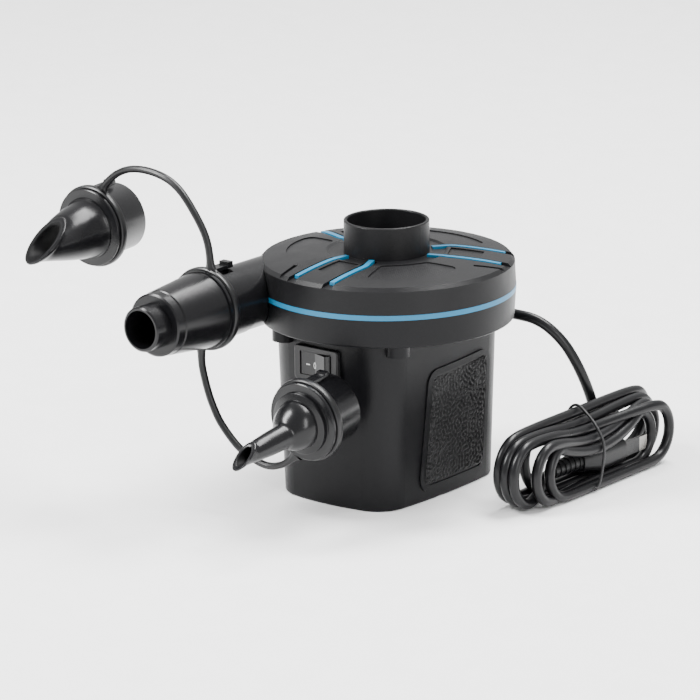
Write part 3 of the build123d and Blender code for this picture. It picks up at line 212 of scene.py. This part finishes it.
pale = plastic("pale_floor", (0.86, 0.86, 0.86), 0.7, grain=0, variation=0.01)
SLEEVE_END = 79.5
SLEEVE_COLOUR = (0.006, 0.006, 0.0065, 1)
BLADE_COLOUR = (0.30, 0.29, 0.27, 1)


def sleeved(name, metal, sleeve_end):
    """Metal blades whose first part, up to sleeve_end metres along Y, is sleeved in black."""
    material = metal.copy()
    material.name = name
    nodes, links = material.node_tree.nodes, material.node_tree.links
    shader = nodes["Principled BSDF"]
    place = nodes.new("ShaderNodeTexCoord")
    split = nodes.new("ShaderNodeSeparateXYZ")
    past = nodes.new("ShaderNodeMath")
    past.operation = "GREATER_THAN"
    past.inputs[1].default_value = sleeve_end
    links.new(place.outputs["Object"], split.inputs["Vector"])
    links.new(split.outputs["Y"], past.inputs[0])
    blend = nodes.new("ShaderNodeMixRGB")
    blend.inputs["Color1"].default_value = SLEEVE_COLOUR
    blend.inputs["Color2"].default_value = BLADE_COLOUR
    links.new(past.outputs["Value"], blend.inputs["Fac"])
    links.new(blend.outputs["Color"], shader.inputs["Base Color"])
    links.new(past.outputs["Value"], shader.inputs["Metallic"])
    return material


by_slot = {
    "housing_plastic": housing, "cover_plastic": cover, "grip_plastic": grip, "accent_blue": accent,
    "nozzle_plastic": nozzle, "tether_rubber": tether, "switch_plastic": switch_black,
    "inner_plastic": inner, "impeller_plastic": impeller_white, "steel": steel,
    "lamination_steel": lamination, "copper": copper, "brass": brass, "carbon": carbon,
    "capacitor_plastic": capacitor, "wire_insulation": insulation, "cord_rubber": cord_black,
    "cord_end_rubber": end_rubber, "tie_plastic": tie_grey,
}
for entry in frame["record"]["subparts"]:
    dress(by_slot[entry["material_slot"]], entry["node"])
dress(sleeved("sleeved_blades", brass, SLEEVE_END * MM), "plug_pins")

# ------------------------------------------------------------------ cord and its hank
CORD_D = 4.6
ROUTE = [
    (4.0, 52.0, 67.4), (27.0, 52.0, 67.4), (40.5, 54.2, 66.3), (50.0, 58.1, 58.0), (54.8, 62.0, 47.6),
    (57.2, 66.6, 36.4), (57.7, 71.4, 25.0), (57.6, 78.6, 12.6), (57.7, 90.6, 3.6),
]
FLOOR_Z = CORD_D / 2 + 0.1
TIE_Y = 43.0
# One line a turn: right end (x below, x above, y, top z), top strand at the tie (x, z),
# left end (x above, x below, y, top z), bottom strand at the tie (x, z)
TURNS = [
    ((58.6, 63.6, 104.5, 30.0), (65.2, 30.6), (65.6, 64.6, -8.6, 30.4), (61.2, FLOOR_Z)),
    ((62.2, 62.6, 82.0, 27.2), (61.8, 26.2), (62.6, 66.8, 10.5, 26.6), (65.8, FLOOR_Z)),
    ((66.6, 67.6, 101.0, 28.2), (69.6, 27.3), (70.2, 70.4, -10.9, 29.6), (70.5, FLOOR_Z)),
    ((70.8, 71.8, 97.5, 27.0), (77.0, 21.6), (79.6, 79.2, -1.2, 27.4), (75.2, FLOOR_Z)),
    ((75.3, 75.5, 89.0, 25.4), (79.9, 17.6), (78.8, 79.8, 8.4, 24.4), (79.9, FLOOR_Z)),
    ((79.9, 80.0, 96.3, 27.8), (73.3, 25.0), (74.8, 74.6, -10.8, 29.4), None),
]
END_ANGLES = [-75, -45, -15, 15, 45, 75]
END_BULGE = 1.02  # control points stand this much outside the round end that they make
TOP_RISE_RIGHT = 0.4  # the top strand starts and ends this far above the round ends
TOP_RISE_LEFT = 0.3


def mix(a, b, t):
    return a + (b - a) * t


def round_end(x_from, x_to, y_end, z_top, side, angles):
    """Points round one end of a turn, from the floor up or the top down; side is 1 at the +Y end."""
    half = (z_top - FLOOR_Z) / 2
    return [
        (mix(x_from, x_to, k / (len(angles) - 1)),
         y_end - side * half + side * END_BULGE * half * cos(radians(angle)),
         FLOOR_Z + half + END_BULGE * half * sin(radians(angle)))
        for k, angle in enumerate(angles)
    ]


def hank_points():
    """The turns in order: up round the +Y end, back over the top, down round the -Y end, and out along
    the floor."""
    points = []
    for number, (right, top, left, bottom) in enumerate(TURNS):
        x_low, x_high, y_end, z_top = right
        points += round_end(x_low, x_high, y_end, z_top, 1, END_ANGLES)
        for y, t in ((70, 0.5), (57, 0.85)):
            points.append((mix(x_high, top[0], t), y, mix(z_top + TOP_RISE_RIGHT, top[1], t)))
        points.append((top[0], TIE_Y, top[1]))
        l_high, l_low, l_end, l_top = left
        for y, t in ((30, 0.25), (19, 0.7)):
            points.append((mix(top[0], l_high, t), y, mix(top[1], l_top + TOP_RISE_LEFT, t)))
        points += round_end(l_high, l_low, l_end, l_top, -1, END_ANGLES[::-1])
        if bottom:
            follow = TURNS[number + 1][0]
            points.append((mix(l_low, bottom[0], 0.8), 28, bottom[1]))
            points.append((bottom[0], TIE_Y, bottom[1]))
            points.append((mix(bottom[0], follow[0], 0.5), 59, bottom[1]))
            points.append((mix(bottom[0], follow[0], 0.9), 73, bottom[1]))
    return points


PLUG_LEAD = [(73.0, 9.0, 4.6), (70.2, 17.0, 9.0), (68.8, 23.0, 10.4), (68.8, 27.0, 10.4)]
cord_line = ROUTE + hank_points() + PLUG_LEAD
curve = bpy.data.curves.new("mains_cord_line", "CURVE")
curve.dimensions = "3D"
spline = curve.splines.new("NURBS")
spline.points.add(len(cord_line) - 1)
for point, place in zip(spline.points, cord_line):
    point.co = (*v(*place), 1)
    point.radius = CORD_D / 2 * MM  # with a bevel depth of 1, so that the curve's box is right as well
spline.order_u = 3
spline.use_endpoint_u = True
curve.resolution_u = 6
curve.bevel_depth = 1.0
curve.bevel_resolution = 5
curve.use_fill_caps = True
cord = new_object("mains_cord_and_hank", curve)
finish_piece(cord, cord_black)
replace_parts(cord, "mains_cord", "cord_hank")


# ------------------------------------------------------------------ twist tie round the hank
def tube(name, points, radius, material, cyclic=False):
    """A round wire along a smooth line through millimetre points."""
    data = bpy.data.curves.new(name, "CURVE")
    data.dimensions = "3D"
    line = data.splines.new("NURBS")
    line.points.add(len(points) - 1)
    for knot, place in zip(line.points, points):
        knot.co = (*v(*place), 1)
    line.order_u = 3
    line.use_endpoint_u = not cyclic
    line.use_cyclic_u = cyclic
    data.resolution_u = 8
    data.bevel_depth = radius * MM
    data.bevel_resolution = 4
    data.use_fill_caps = True
    draft = bpy.data.objects.new(name + "_line", data)
    scene.collection.objects.link(draft)
    bpy.context.view_layer.update()
    mesh = bpy.data.meshes.new_from_object(draft.evaluated_get(bpy.context.evaluated_depsgraph_get()))
    bpy.data.objects.remove(draft)
    mesh.name = name
    mesh.materials.clear()
    mesh.shade_smooth()
    return finish_piece(new_object(name, mesh), material)


TIE_LOOP = [
    (60.2, 46.8, 27.0), (61.8, 46.9, 31.6), (64.2, 47.0, 33.9), (67.2, 46.9, 34.0), (70.4, 46.5, 32.0),
    (74.2, 46.0, 29.4), (77.6, 45.2, 26.6), (81.6, 44.2, 22.0), (83.3, 43.0, 17.4), (83.2, 41.6, 10.0),
    (83.0, 40.0, 3.6), (81.2, 38.4, 0.9), (77.0, 37.8, 0.75), (62.0, 40.0, 0.75), (58.6, 42.0, 1.2),
    (58.0, 44.0, 6.0), (58.6, 46.0, 20.0),
]
TIE_R = 0.62
TAIL_R = 0.5
TAIL_START = (82.2, 38.0, 1.75)
TAIL_STEP = (-0.35, -0.55)  # along x and y from one point of a tail to the next
TAIL_SWING = (0.8, 0.75)  # how far the two tails wind round each other in x and z
TAIL_TURN = 1.7  # radians from one point to the next
TAIL_POINTS = 13
tie = tube("twist_tie", TIE_LOOP, TIE_R, tie_grey, cyclic=True)
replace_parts(tie, "cord_tie")
for letter, side in (("a", 1), ("b", -1)):
    tail = [
        (TAIL_START[0] + TAIL_STEP[0] * k + side * TAIL_SWING[0] * cos(TAIL_TURN * k),
         TAIL_START[1] + TAIL_STEP[1] * k,
         TAIL_START[2] + side * TAIL_SWING[1] * sin(TAIL_TURN * k))
        for k in range(TAIL_POINTS)
    ]
    tube("twist_tie_tail_" + letter, tail, TAIL_R, tie_grey)

# ------------------------------------------------------------------ tether
# Each body's ring: its centre, and how far its nozzle points down in degrees
SEATS = {"nozzle_ring": ((-39.2, -75.0, 86.2), 0), "upper_nozzle": ((-100.8, -75.0, 112.7), 4),
         "lower_nozzle": ((14.7, -75.0, 47.0), 6)}


def seat_frame(body):
    """A function that puts local (across, up, forward) millimetres in the row frame."""
    centre, pitch = SEATS[body]
    forward = Vector((0, -cos(radians(pitch)), -sin(radians(pitch))))
    up = Vector((0, -sin(radians(pitch)), cos(radians(pitch))))
    across = Vector((1, 0, 0))
    return lambda a, u, f: v(*centre) + (across * a + up * u + forward * f) * MM


def turned(name, body, profile, segments=96):
    """A ring turned about a seat's axis from a closed outline of (radius, forward) points."""
    put = seat_frame(body)
    rings = []
    for radius, forward in profile:
        rings.append([put(radius * cos(2 * pi * k / segments), radius * sin(2 * pi * k / segments), forward)
                      for k in range(segments)])
    return mesh_object(name, *loft_mesh(rings, close_path=True), body)


RING_PROFILE = [(14.8, -0.7), (15.1, -0.35), (16.1, -0.3), (17.2, -0.35), (17.7, -0.75), (17.85, -1.4),
                (17.85, -2.6), (17.7, -3.25), (17.2, -3.7), (15.3, -3.7), (14.8, -3.2)]
rings = {}
for body in SEATS:
    rings[body] = finish_piece(turned("tether_ring_" + body, body, RING_PROFILE), tether)

STRAP_Y = -73.0
END_FLARE = 1.5
FLARE_LENGTH = 1.7
EVENING_ROUNDS = 30


def smooth_path(points, steps=10):
    """A Catmull-Rom line through the points, evened out so that it passes near them and not through them."""
    pts = [np.array(p, float) for p in points]
    pts = [2 * pts[0] - pts[1]] + pts + [2 * pts[-1] - pts[-2]]
    line = []
    for a, b, c, d in zip(pts, pts[1:], pts[2:], pts[3:]):
        for t in np.arange(steps) / steps:
            line.append(0.5 * (2 * b + (c - a) * t + (2 * a - 5 * b + 4 * c - d) * t**2
                               + (3 * b - a - 3 * c + d) * t**3))
    line.append(pts[-2])
    line = np.array(line)
    for _ in range(EVENING_ROUNDS):
        line[1:-1] = (line[:-2] + 2 * line[1:-1] + line[2:]) / 4
    return list(line)


STRAP_PROFILE = [(-1.5, 0.5), (-1.35, -0.75), (-1.0, -1.1), (-0.55, -1.15), (-0.3, -1.5), (0.3, -1.5),
                 (0.55, -1.15), (1.0, -1.1), (1.35, -0.75), (1.5, 0.5), (1.2, 1.15), (-1.2, 1.15)]


def strap(name, points, nodes):
    """A strap in the plane of the rings. Points are (x, z) from the outlet ring's centre."""
    (centre_x, _, centre_z), _ = SEATS["nozzle_ring"]
    line = smooth_path(points)
    total = sum(float(np.linalg.norm(b - a)) for a, b in zip(line, line[1:]))
    rings, gone = [], 0.0
    for i, place in enumerate(line):
        ahead = line[min(i + 1, len(line) - 1)] - line[max(i - 1, 0)]
        ahead = ahead / np.linalg.norm(ahead)
        if i:
            gone += float(np.linalg.norm(place - line[i - 1]))
        ends = np.exp(-gone / FLARE_LENGTH) + np.exp(-(total - gone) / FLARE_LENGTH)
        flare = 1 + END_FLARE * ends
        rings.append([
            v(centre_x + place[0] - ahead[1] * n * flare, STRAP_Y + d,
              centre_z + place[1] + ahead[0] * n * flare)
            for n, d in STRAP_PROFILE
        ])
    obj = mesh_object(name, *loft_mesh(rings), body=None, sharp=50)
    finish_piece(obj, tether)
    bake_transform(obj)
    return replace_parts(obj, *nodes)


strap("tether_strap_upper", [
    (3.0, 16.6), (2.6, 21.5), (1.8, 27.1), (-0.8, 34.0), (-8.5, 44.3), (-13.6, 49.4), (-19.4, 52.8),
    (-27.6, 54.8), (-38.1, 54.9), (-47.6, 51.8), (-54.2, 46.0), (-56.6, 42.4),
], ["tether_upper"])
strap("tether_strap_lower", [
    (-3.1, -16.2), (-3.1, -21), (-2.8, -26.5), (0.5, -37.3), (3.3, -43.0), (6.5, -48.6), (14.0, -56.0),
    (19.3, -59.4), (29.0, -63.0), (36.6, -62.6), (43.6, -59.0), (47.6, -54.9),
], ["tether_lower"])
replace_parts(rings["nozzle_ring"], "tether_hub")

# ------------------------------------------------------------------ medium and small nozzles
SIDES = 64
BORE_STATIONS = 8  # the last stations of each nozzle line its bore, which is coloured darker as painted shade
LATCH_EDGE = 0.35
# The latch arm over the ring, with its raised tip: forward, lower and upper height, half width
LATCH = [(-0.5, 14.9, 16.5, 2.5), (-9.0, 15.0, 16.5, 2.5), (-12.6, 15.2, 16.5, 2.45),
         (-12.9, 15.2, 17.4, 2.4), (-14.9, 15.2, 17.4, 2.3), (-15.5, 15.4, 17.0, 2.1)]


def nozzle_rings(body, stations):
    """Oval rings from (forward, radius, drop, across scale, lean): lean tips a ring's top back into a
    slanted mouth."""
    put = seat_frame(body)
    out = []
    for forward, radius, drop, wide, lean in stations:
        ring = []
        for k in range(SIDES):
            turn = 2 * pi * k / SIDES
            up = radius * sin(turn) - drop
            ring.append(put(radius * wide * cos(turn), up, forward - lean * radius * sin(turn)))
        out.append(ring)
    return out


# Both nozzles start with the same skirt and flange
SKIRT = [(-19.0, 13.15, 0, 1, 0), (-19.0, 14.5, 0, 1, 0), (-18.7, 14.65, 0, 1, 0), (-0.6, 14.65, 0, 1, 0)]
FLANGE = [(-0.1, 14.8, 0, 1, 0), (0.0, 16.6, 0, 1, 0), (0.35, 16.9, 0, 1, 0), (1.3, 16.9, 0, 1, 0),
          (1.6, 16.6, 0, 1, 0)]
medium_stations = SKIRT + FLANGE + [
    (1.62, 13.6, 0, 1, 0), (1.75, 13.2, 0, 1, 0), (2.5, 13.2, 0, 1, 0), (2.9, 12.9, 0, 1, 0),
    (3.4, 12.5, 0, 1, 0), (9.0, 11.7, 0, 1, 0.02), (14.0, 10.7, -0.1, 1, 0.08), (18.5, 9.6, -0.4, 1, 0.22),
    (22.3, 8.5, -0.9, 1, 0.52), (25.2, 7.6, -1.3, 0.97, 0.92), (26.4, 7.25, -1.5, 0.95, 1.12),
    (27.2, 7.35, -1.6, 0.94, 1.24), (28.2, 7.55, -1.7, 0.93, 1.36), (29.0, 7.4, -1.8, 0.92, 1.44),
    (29.6, 6.9, -1.8, 0.91, 1.50), (29.7, 6.2, -1.8, 0.90, 1.52), (29.2, 5.5, -1.8, 0.88, 1.48),
    (27.6, 5.0, -1.6, 0.88, 1.25), (23.5, 5.6, -1.1, 0.94, 0.7), (17.5, 7.2, -0.3, 1, 0.2),
    (10.0, 9.6, 0, 1, 0), (3.0, 11.0, 0, 1, 0), (0.0, 13.15, 0, 1, 0),
]
small_stations = SKIRT + FLANGE + [
    (1.62, 13.7, 0, 1, 0), (1.75, 13.4, 0, 1, 0), (3.8, 13.4, 0, 1, 0), (4.05, 13.1, 0, 1, 0),
    (4.1, 10.9, 0, 1, 0), (4.4, 10.5, 0, 1, 0), (6.5, 10.3, 0.1, 1, 0),
    (9.0, 9.5, 0.5, 1, 0), (11.0, 8.3, 1.0, 1, 0),
    (12.6, 7.0, 1.4, 1, 0), (13.5, 6.1, 1.7, 1, 0), (14.4, 5.5, 1.8, 1, 0), (16.0, 5.3, 1.8, 1, 0),
    (25.0, 4.9, 1.8, 1, 0), (31.5, 4.4, 1.7, 1, 0.15), (34.6, 4.0, 1.6, 0.98, 0.6),
    (37.0, 3.8, 1.5, 0.95, 1.15),
    (38.6, 4.1, 1.5, 0.94, 1.36), (39.8, 4.2, 1.5, 0.93, 1.5), (40.5, 3.9, 1.5, 0.9, 1.55),
    (40.6, 3.4, 1.5, 0.86, 1.55), (40.0, 2.9, 1.5, 0.82, 1.48), (38.0, 2.6, 1.5, 0.84, 1.2),
    (34.0, 2.7, 1.6, 0.9, 0.6), (27.0, 3.0, 1.8, 1, 0), (14.0, 3.6, 1.8, 1, 0), (8.0, 7.0, 1.0, 1, 0),
    (3.0, 9.0, 0, 1, 0),
    (0.0, 13.15, 0, 1, 0),
]


def nozzle_piece(name, body, stations, node):
    """A nozzle's shell, with its bore painted darker as shade inside the mouth, and its latch arm."""
    vertices, faces = loft_mesh(nozzle_rings(body, stations), close_path=True)
    obj = mesh_object(name, vertices, faces, body, sharp=40)
    finish_piece(obj, nozzle)
    obj.data.materials.append(nozzle_bore_painted_shade)
    # The bore's faces take the painted shade.
    first = (len(stations) - BORE_STATIONS) * SIDES
    for face in obj.data.polygons:
        if min(face.vertices) >= first:
            face.material_index = 1
    put = seat_frame(body)
    rows = []
    for forward, low, high, half in LATCH:
        rows.append([
            put(-half, low, forward), put(half, low, forward), put(half, high - LATCH_EDGE, forward),
            put(half - LATCH_EDGE, high, forward), put(LATCH_EDGE - half, high, forward),
            put(-half, high - LATCH_EDGE, forward),
        ])
    arm = mesh_object(name + "_latch", *loft_mesh(rows), body, sharp=30)
    finish_piece(arm, nozzle)
    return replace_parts(obj, node)


nozzle_piece("medium_nozzle_shell", "upper_nozzle", medium_stations, "medium_nozzle")
nozzle_piece("small_nozzle_shell", "lower_nozzle", small_stations, "small_nozzle")

# ------------------------------------------------------------------ pips on the front of the cover
# They lie in the stretches of PIP_DIRECTIONS only, all towards -Y. The cover's sides and back have none.
PIP_PITCH = 1.25
PIP_R = 0.36
PIP_HEIGHT = 0.16
PIP_SINK = 0.02
PIP_BAND = (28, 44)  # distances from the axis
PIP_DIRECTIONS = ((-118, -98), (-78, -12))
PIP_REACH = 48
FLAT_WITHIN = 0.12  # a pip is left out where the cover rises more than this under it
FLAT_NORMAL = 0.98  # or where the surface faces up by less than this
ABOVE_COVER = 130
DOWN = Vector((0, 0, -1))


def surface_tree(node):
    """Finds points on a CAD node's surface."""
    return BVHTree.FromObject(frame["nodes"][node], bpy.context.evaluated_depsgraph_get())


def has_pip(a, b):
    if not PIP_BAND[0] < np.hypot(a, b) < PIP_BAND[1]:
        return False
    angle = np.degrees(atan2(b, a))
    return any(low < angle < high for low, high in PIP_DIRECTIONS)


cover_tree = surface_tree("top_cover")
pip_vertices, pip_faces = [], []
steps = np.arange(-PIP_REACH, PIP_REACH, PIP_PITCH)
for a, b in [(a, b) for a in steps for b in steps if has_pip(a, b)]:
    places = [(a + PIP_R, b), (a, b + PIP_R), (a - PIP_R, b), (a, b - PIP_R), (a, b)]
    hits = [cover_tree.ray_cast(v(x, y, ABOVE_COVER), DOWN) for x, y in places]
    heights = [hit[0].z for hit in hits if hit[0]]
    if len(heights) < len(places) or max(heights) - min(heights) > FLAT_WITHIN * MM:
        continue
    if hits[-1][1].z < FLAT_NORMAL:
        continue
    base = len(pip_vertices)
    pip_vertices += [hit[0] - Vector((0, 0, PIP_SINK * MM)) for hit in hits[:-1]]
    pip_vertices.append(hits[-1][0] + Vector((0, 0, PIP_HEIGHT * MM)))
    pip_faces += [(base + k, base + (k + 1) % 4, base + 4) for k in range(4)]
pips = mesh_object("cover_pips", pip_vertices, pip_faces, smooth=False)
finish_piece(pips, cover)

# ------------------------------------------------------------------ the switch's marks
PRINT_LIFT = 0.06
AHEAD_OF_ROCKER = -70
BAR = [(-1.0, -0.22), (1.0, -0.22), (1.0, 0.22), (-1.0, 0.22)]
ROUND = [(cos(2 * pi * k / 24), sin(2 * pi * k / 24)) for k in range(24)]
rocker_tree = surface_tree("rocker")


def print_mark(name, outline, hole, centre):
    """A thin print laid on the rocker's face as seen from the front. The hole has as many points as the
    outline, or none."""
    vertices = []
    for a, b in outline + hole:
        place = v(centre[0] + a, AHEAD_OF_ROCKER, centre[1] + b)
        hit = rocker_tree.ray_cast(place, Vector((0, 1, 0)))
        vertices.append(hit[0] + hit[1] * PRINT_LIFT * MM)
    count = len(outline)
    faces = [tuple(range(count))]
    if hole:
        faces = [(k, (k + 1) % count, count + (k + 1) % count, count + k) for k in range(count)]
    obj = mesh_object(name, vertices, faces, "switch_rocker")
    return finish_piece(obj, white_print)


print_mark("on_mark", BAR, [], (-5.6, 61.6))
print_mark("off_mark", [(0.75 * a, 1.35 * b) for a, b in ROUND], [(0.45 * a, 1.0 * b) for a, b in ROUND],
           (-1.9, 61.6))

# ------------------------------------------------------------------ grip panels' worm texture
GRIP_CORNERS = ((-17.5, 7.0), (-13.0, 55.0), (26.0, 56.5), (24.5, 7.0))
GRIP_Y = (-18, 27)
GRIP_Z = (6.5, 57.5)
GRIP_MARGIN = 0.75
GRIP_STEP = 0.28
SIDE_X = 32.0  # the body's half width at the floor
DRAFT = radians(1.9)
WORM_PERIOD = 2.0
WORM_SPREAD = 0.13  # width of the noise band, as a share of its middle
WORM_BASE = 0.03
WORM_HEIGHT = 0.55
WORM_GAIN = 2.0
WORM_OFFSET = 0.55  # above 0.5, so that the ridges are wider than the gaps
EDGE_FADE = 0.8


def inside(y, z, margin):
    """How far a point lies inside the grip panel's outline, less a margin."""
    depth = 1e9
    for (ya, za), (yb, zb) in zip(GRIP_CORNERS, GRIP_CORNERS[1:] + GRIP_CORNERS[:1]):
        along_y, along_z = yb - ya, zb - za
        length = (along_y**2 + along_z**2) ** 0.5
        depth = np.minimum(depth, ((z - za) * -along_y + (y - ya) * along_z) / length)
    return depth - margin


def worm_field(rows, columns, step, period, seed):
    """Band-passed noise, whose level lines wander like worms."""
    rng = np.random.default_rng(seed)
    noise = np.fft.rfft2(rng.standard_normal((rows, columns)))
    fy = np.fft.fftfreq(rows, step)[:, None]
    fx = np.fft.rfftfreq(columns, step)[None, :]
    radius = np.hypot(fy, fx)
    band = np.exp(-((radius - 1 / period) / (WORM_SPREAD / period)) ** 2)
    field = np.fft.irfft2(noise * band, (rows, columns))
    return field / field.std()


def grip_texture(side, name, seed):
    """The raised worms of one grip panel; side is 1 at +X and -1 at -X."""
    ys = np.arange(*GRIP_Y, GRIP_STEP)
    zs = np.arange(*GRIP_Z, GRIP_STEP)
    field = worm_field(len(zs), len(ys), GRIP_STEP, WORM_PERIOD, seed)
    y, z = np.meshgrid(ys, zs)
    edge = inside(y, z, GRIP_MARGIN)
    ridge = np.clip(field * WORM_GAIN + WORM_OFFSET, 0, 1)
    ridge = ridge * ridge * (3 - 2 * ridge)
    height = WORM_BASE + WORM_HEIGHT * ridge * np.clip(edge / EDGE_FADE, 0, 1)
    x = side * (SIDE_X + z * np.tan(DRAFT) + height)
    keep = edge > 0
    index = -np.ones(keep.shape, int)
    index[keep] = np.arange(keep.sum())
    vertices = np.stack([x[keep], y[keep], z[keep]], 1) * MM
    block = keep[:-1, :-1] & keep[1:, :-1] & keep[:-1, 1:] & keep[1:, 1:]
    rows, columns = np.nonzero(block)
    faces = np.stack([index[rows, columns], index[rows, columns + 1], index[rows + 1, columns + 1],
                      index[rows + 1, columns]], 1)
    if side < 0:
        faces = faces[:, ::-1]
    mesh = bpy.data.meshes.new(name)
    mesh.from_pydata(vertices.tolist(), [], faces.tolist())
    mesh.shade_smooth()
    return finish_piece(new_object(name, mesh), grip)


grip_texture(1, "grip_texture_right", 11)
grip_texture(-1, "grip_texture_left", 12)

# ------------------------------------------------------------------ floor, light
FLOOR = 4  # half the floor's side in metres
floor_mesh = bpy.data.meshes.new("floor")
floor_corners = [(-FLOOR, -FLOOR, 0), (FLOOR, -FLOOR, 0), (FLOOR, FLOOR, 0), (-FLOOR, FLOOR, 0)]
floor_mesh.from_pydata(floor_corners, [], [(0, 1, 2, 3)])
floor = bpy.data.objects.new("floor", floor_mesh)
scene.collection.objects.link(floor)
floor_mesh.materials.append(pale)

world = bpy.data.worlds.new("studio")
scene.world = world
world.use_nodes = True
world.node_tree.nodes["Background"].inputs["Color"].default_value = (1, 1, 1, 1)
world.node_tree.nodes["Background"].inputs["Strength"].default_value = 1.0


def area_light(name, place, target, size, size_y, power):
    """A rectangular lamp turned to its target, in metres and watts."""
    data = bpy.data.lights.new(name, "AREA")
    data.shape = "RECTANGLE"
    data.size = size
    data.size_y = size_y
    data.energy = power
    lamp = bpy.data.objects.new(name, data)
    scene.collection.objects.link(lamp)
    lamp.location = place
    lamp.rotation_euler = (Vector(target) - Vector(place)).to_track_quat("-Z", "Y").to_euler()


area_light("key", (-0.9, -1.0, 1.3), (0, 0, 0.05), 0.5, 0.8, 75)
area_light("fill", (1.5, -0.5, 0.7), (0, 0, 0.05), 0.3, 1.0, 16)
area_light("top", (0.2, 0.6, 1.6), (0, 0, 0.08), 1.4, 0.6, 75)
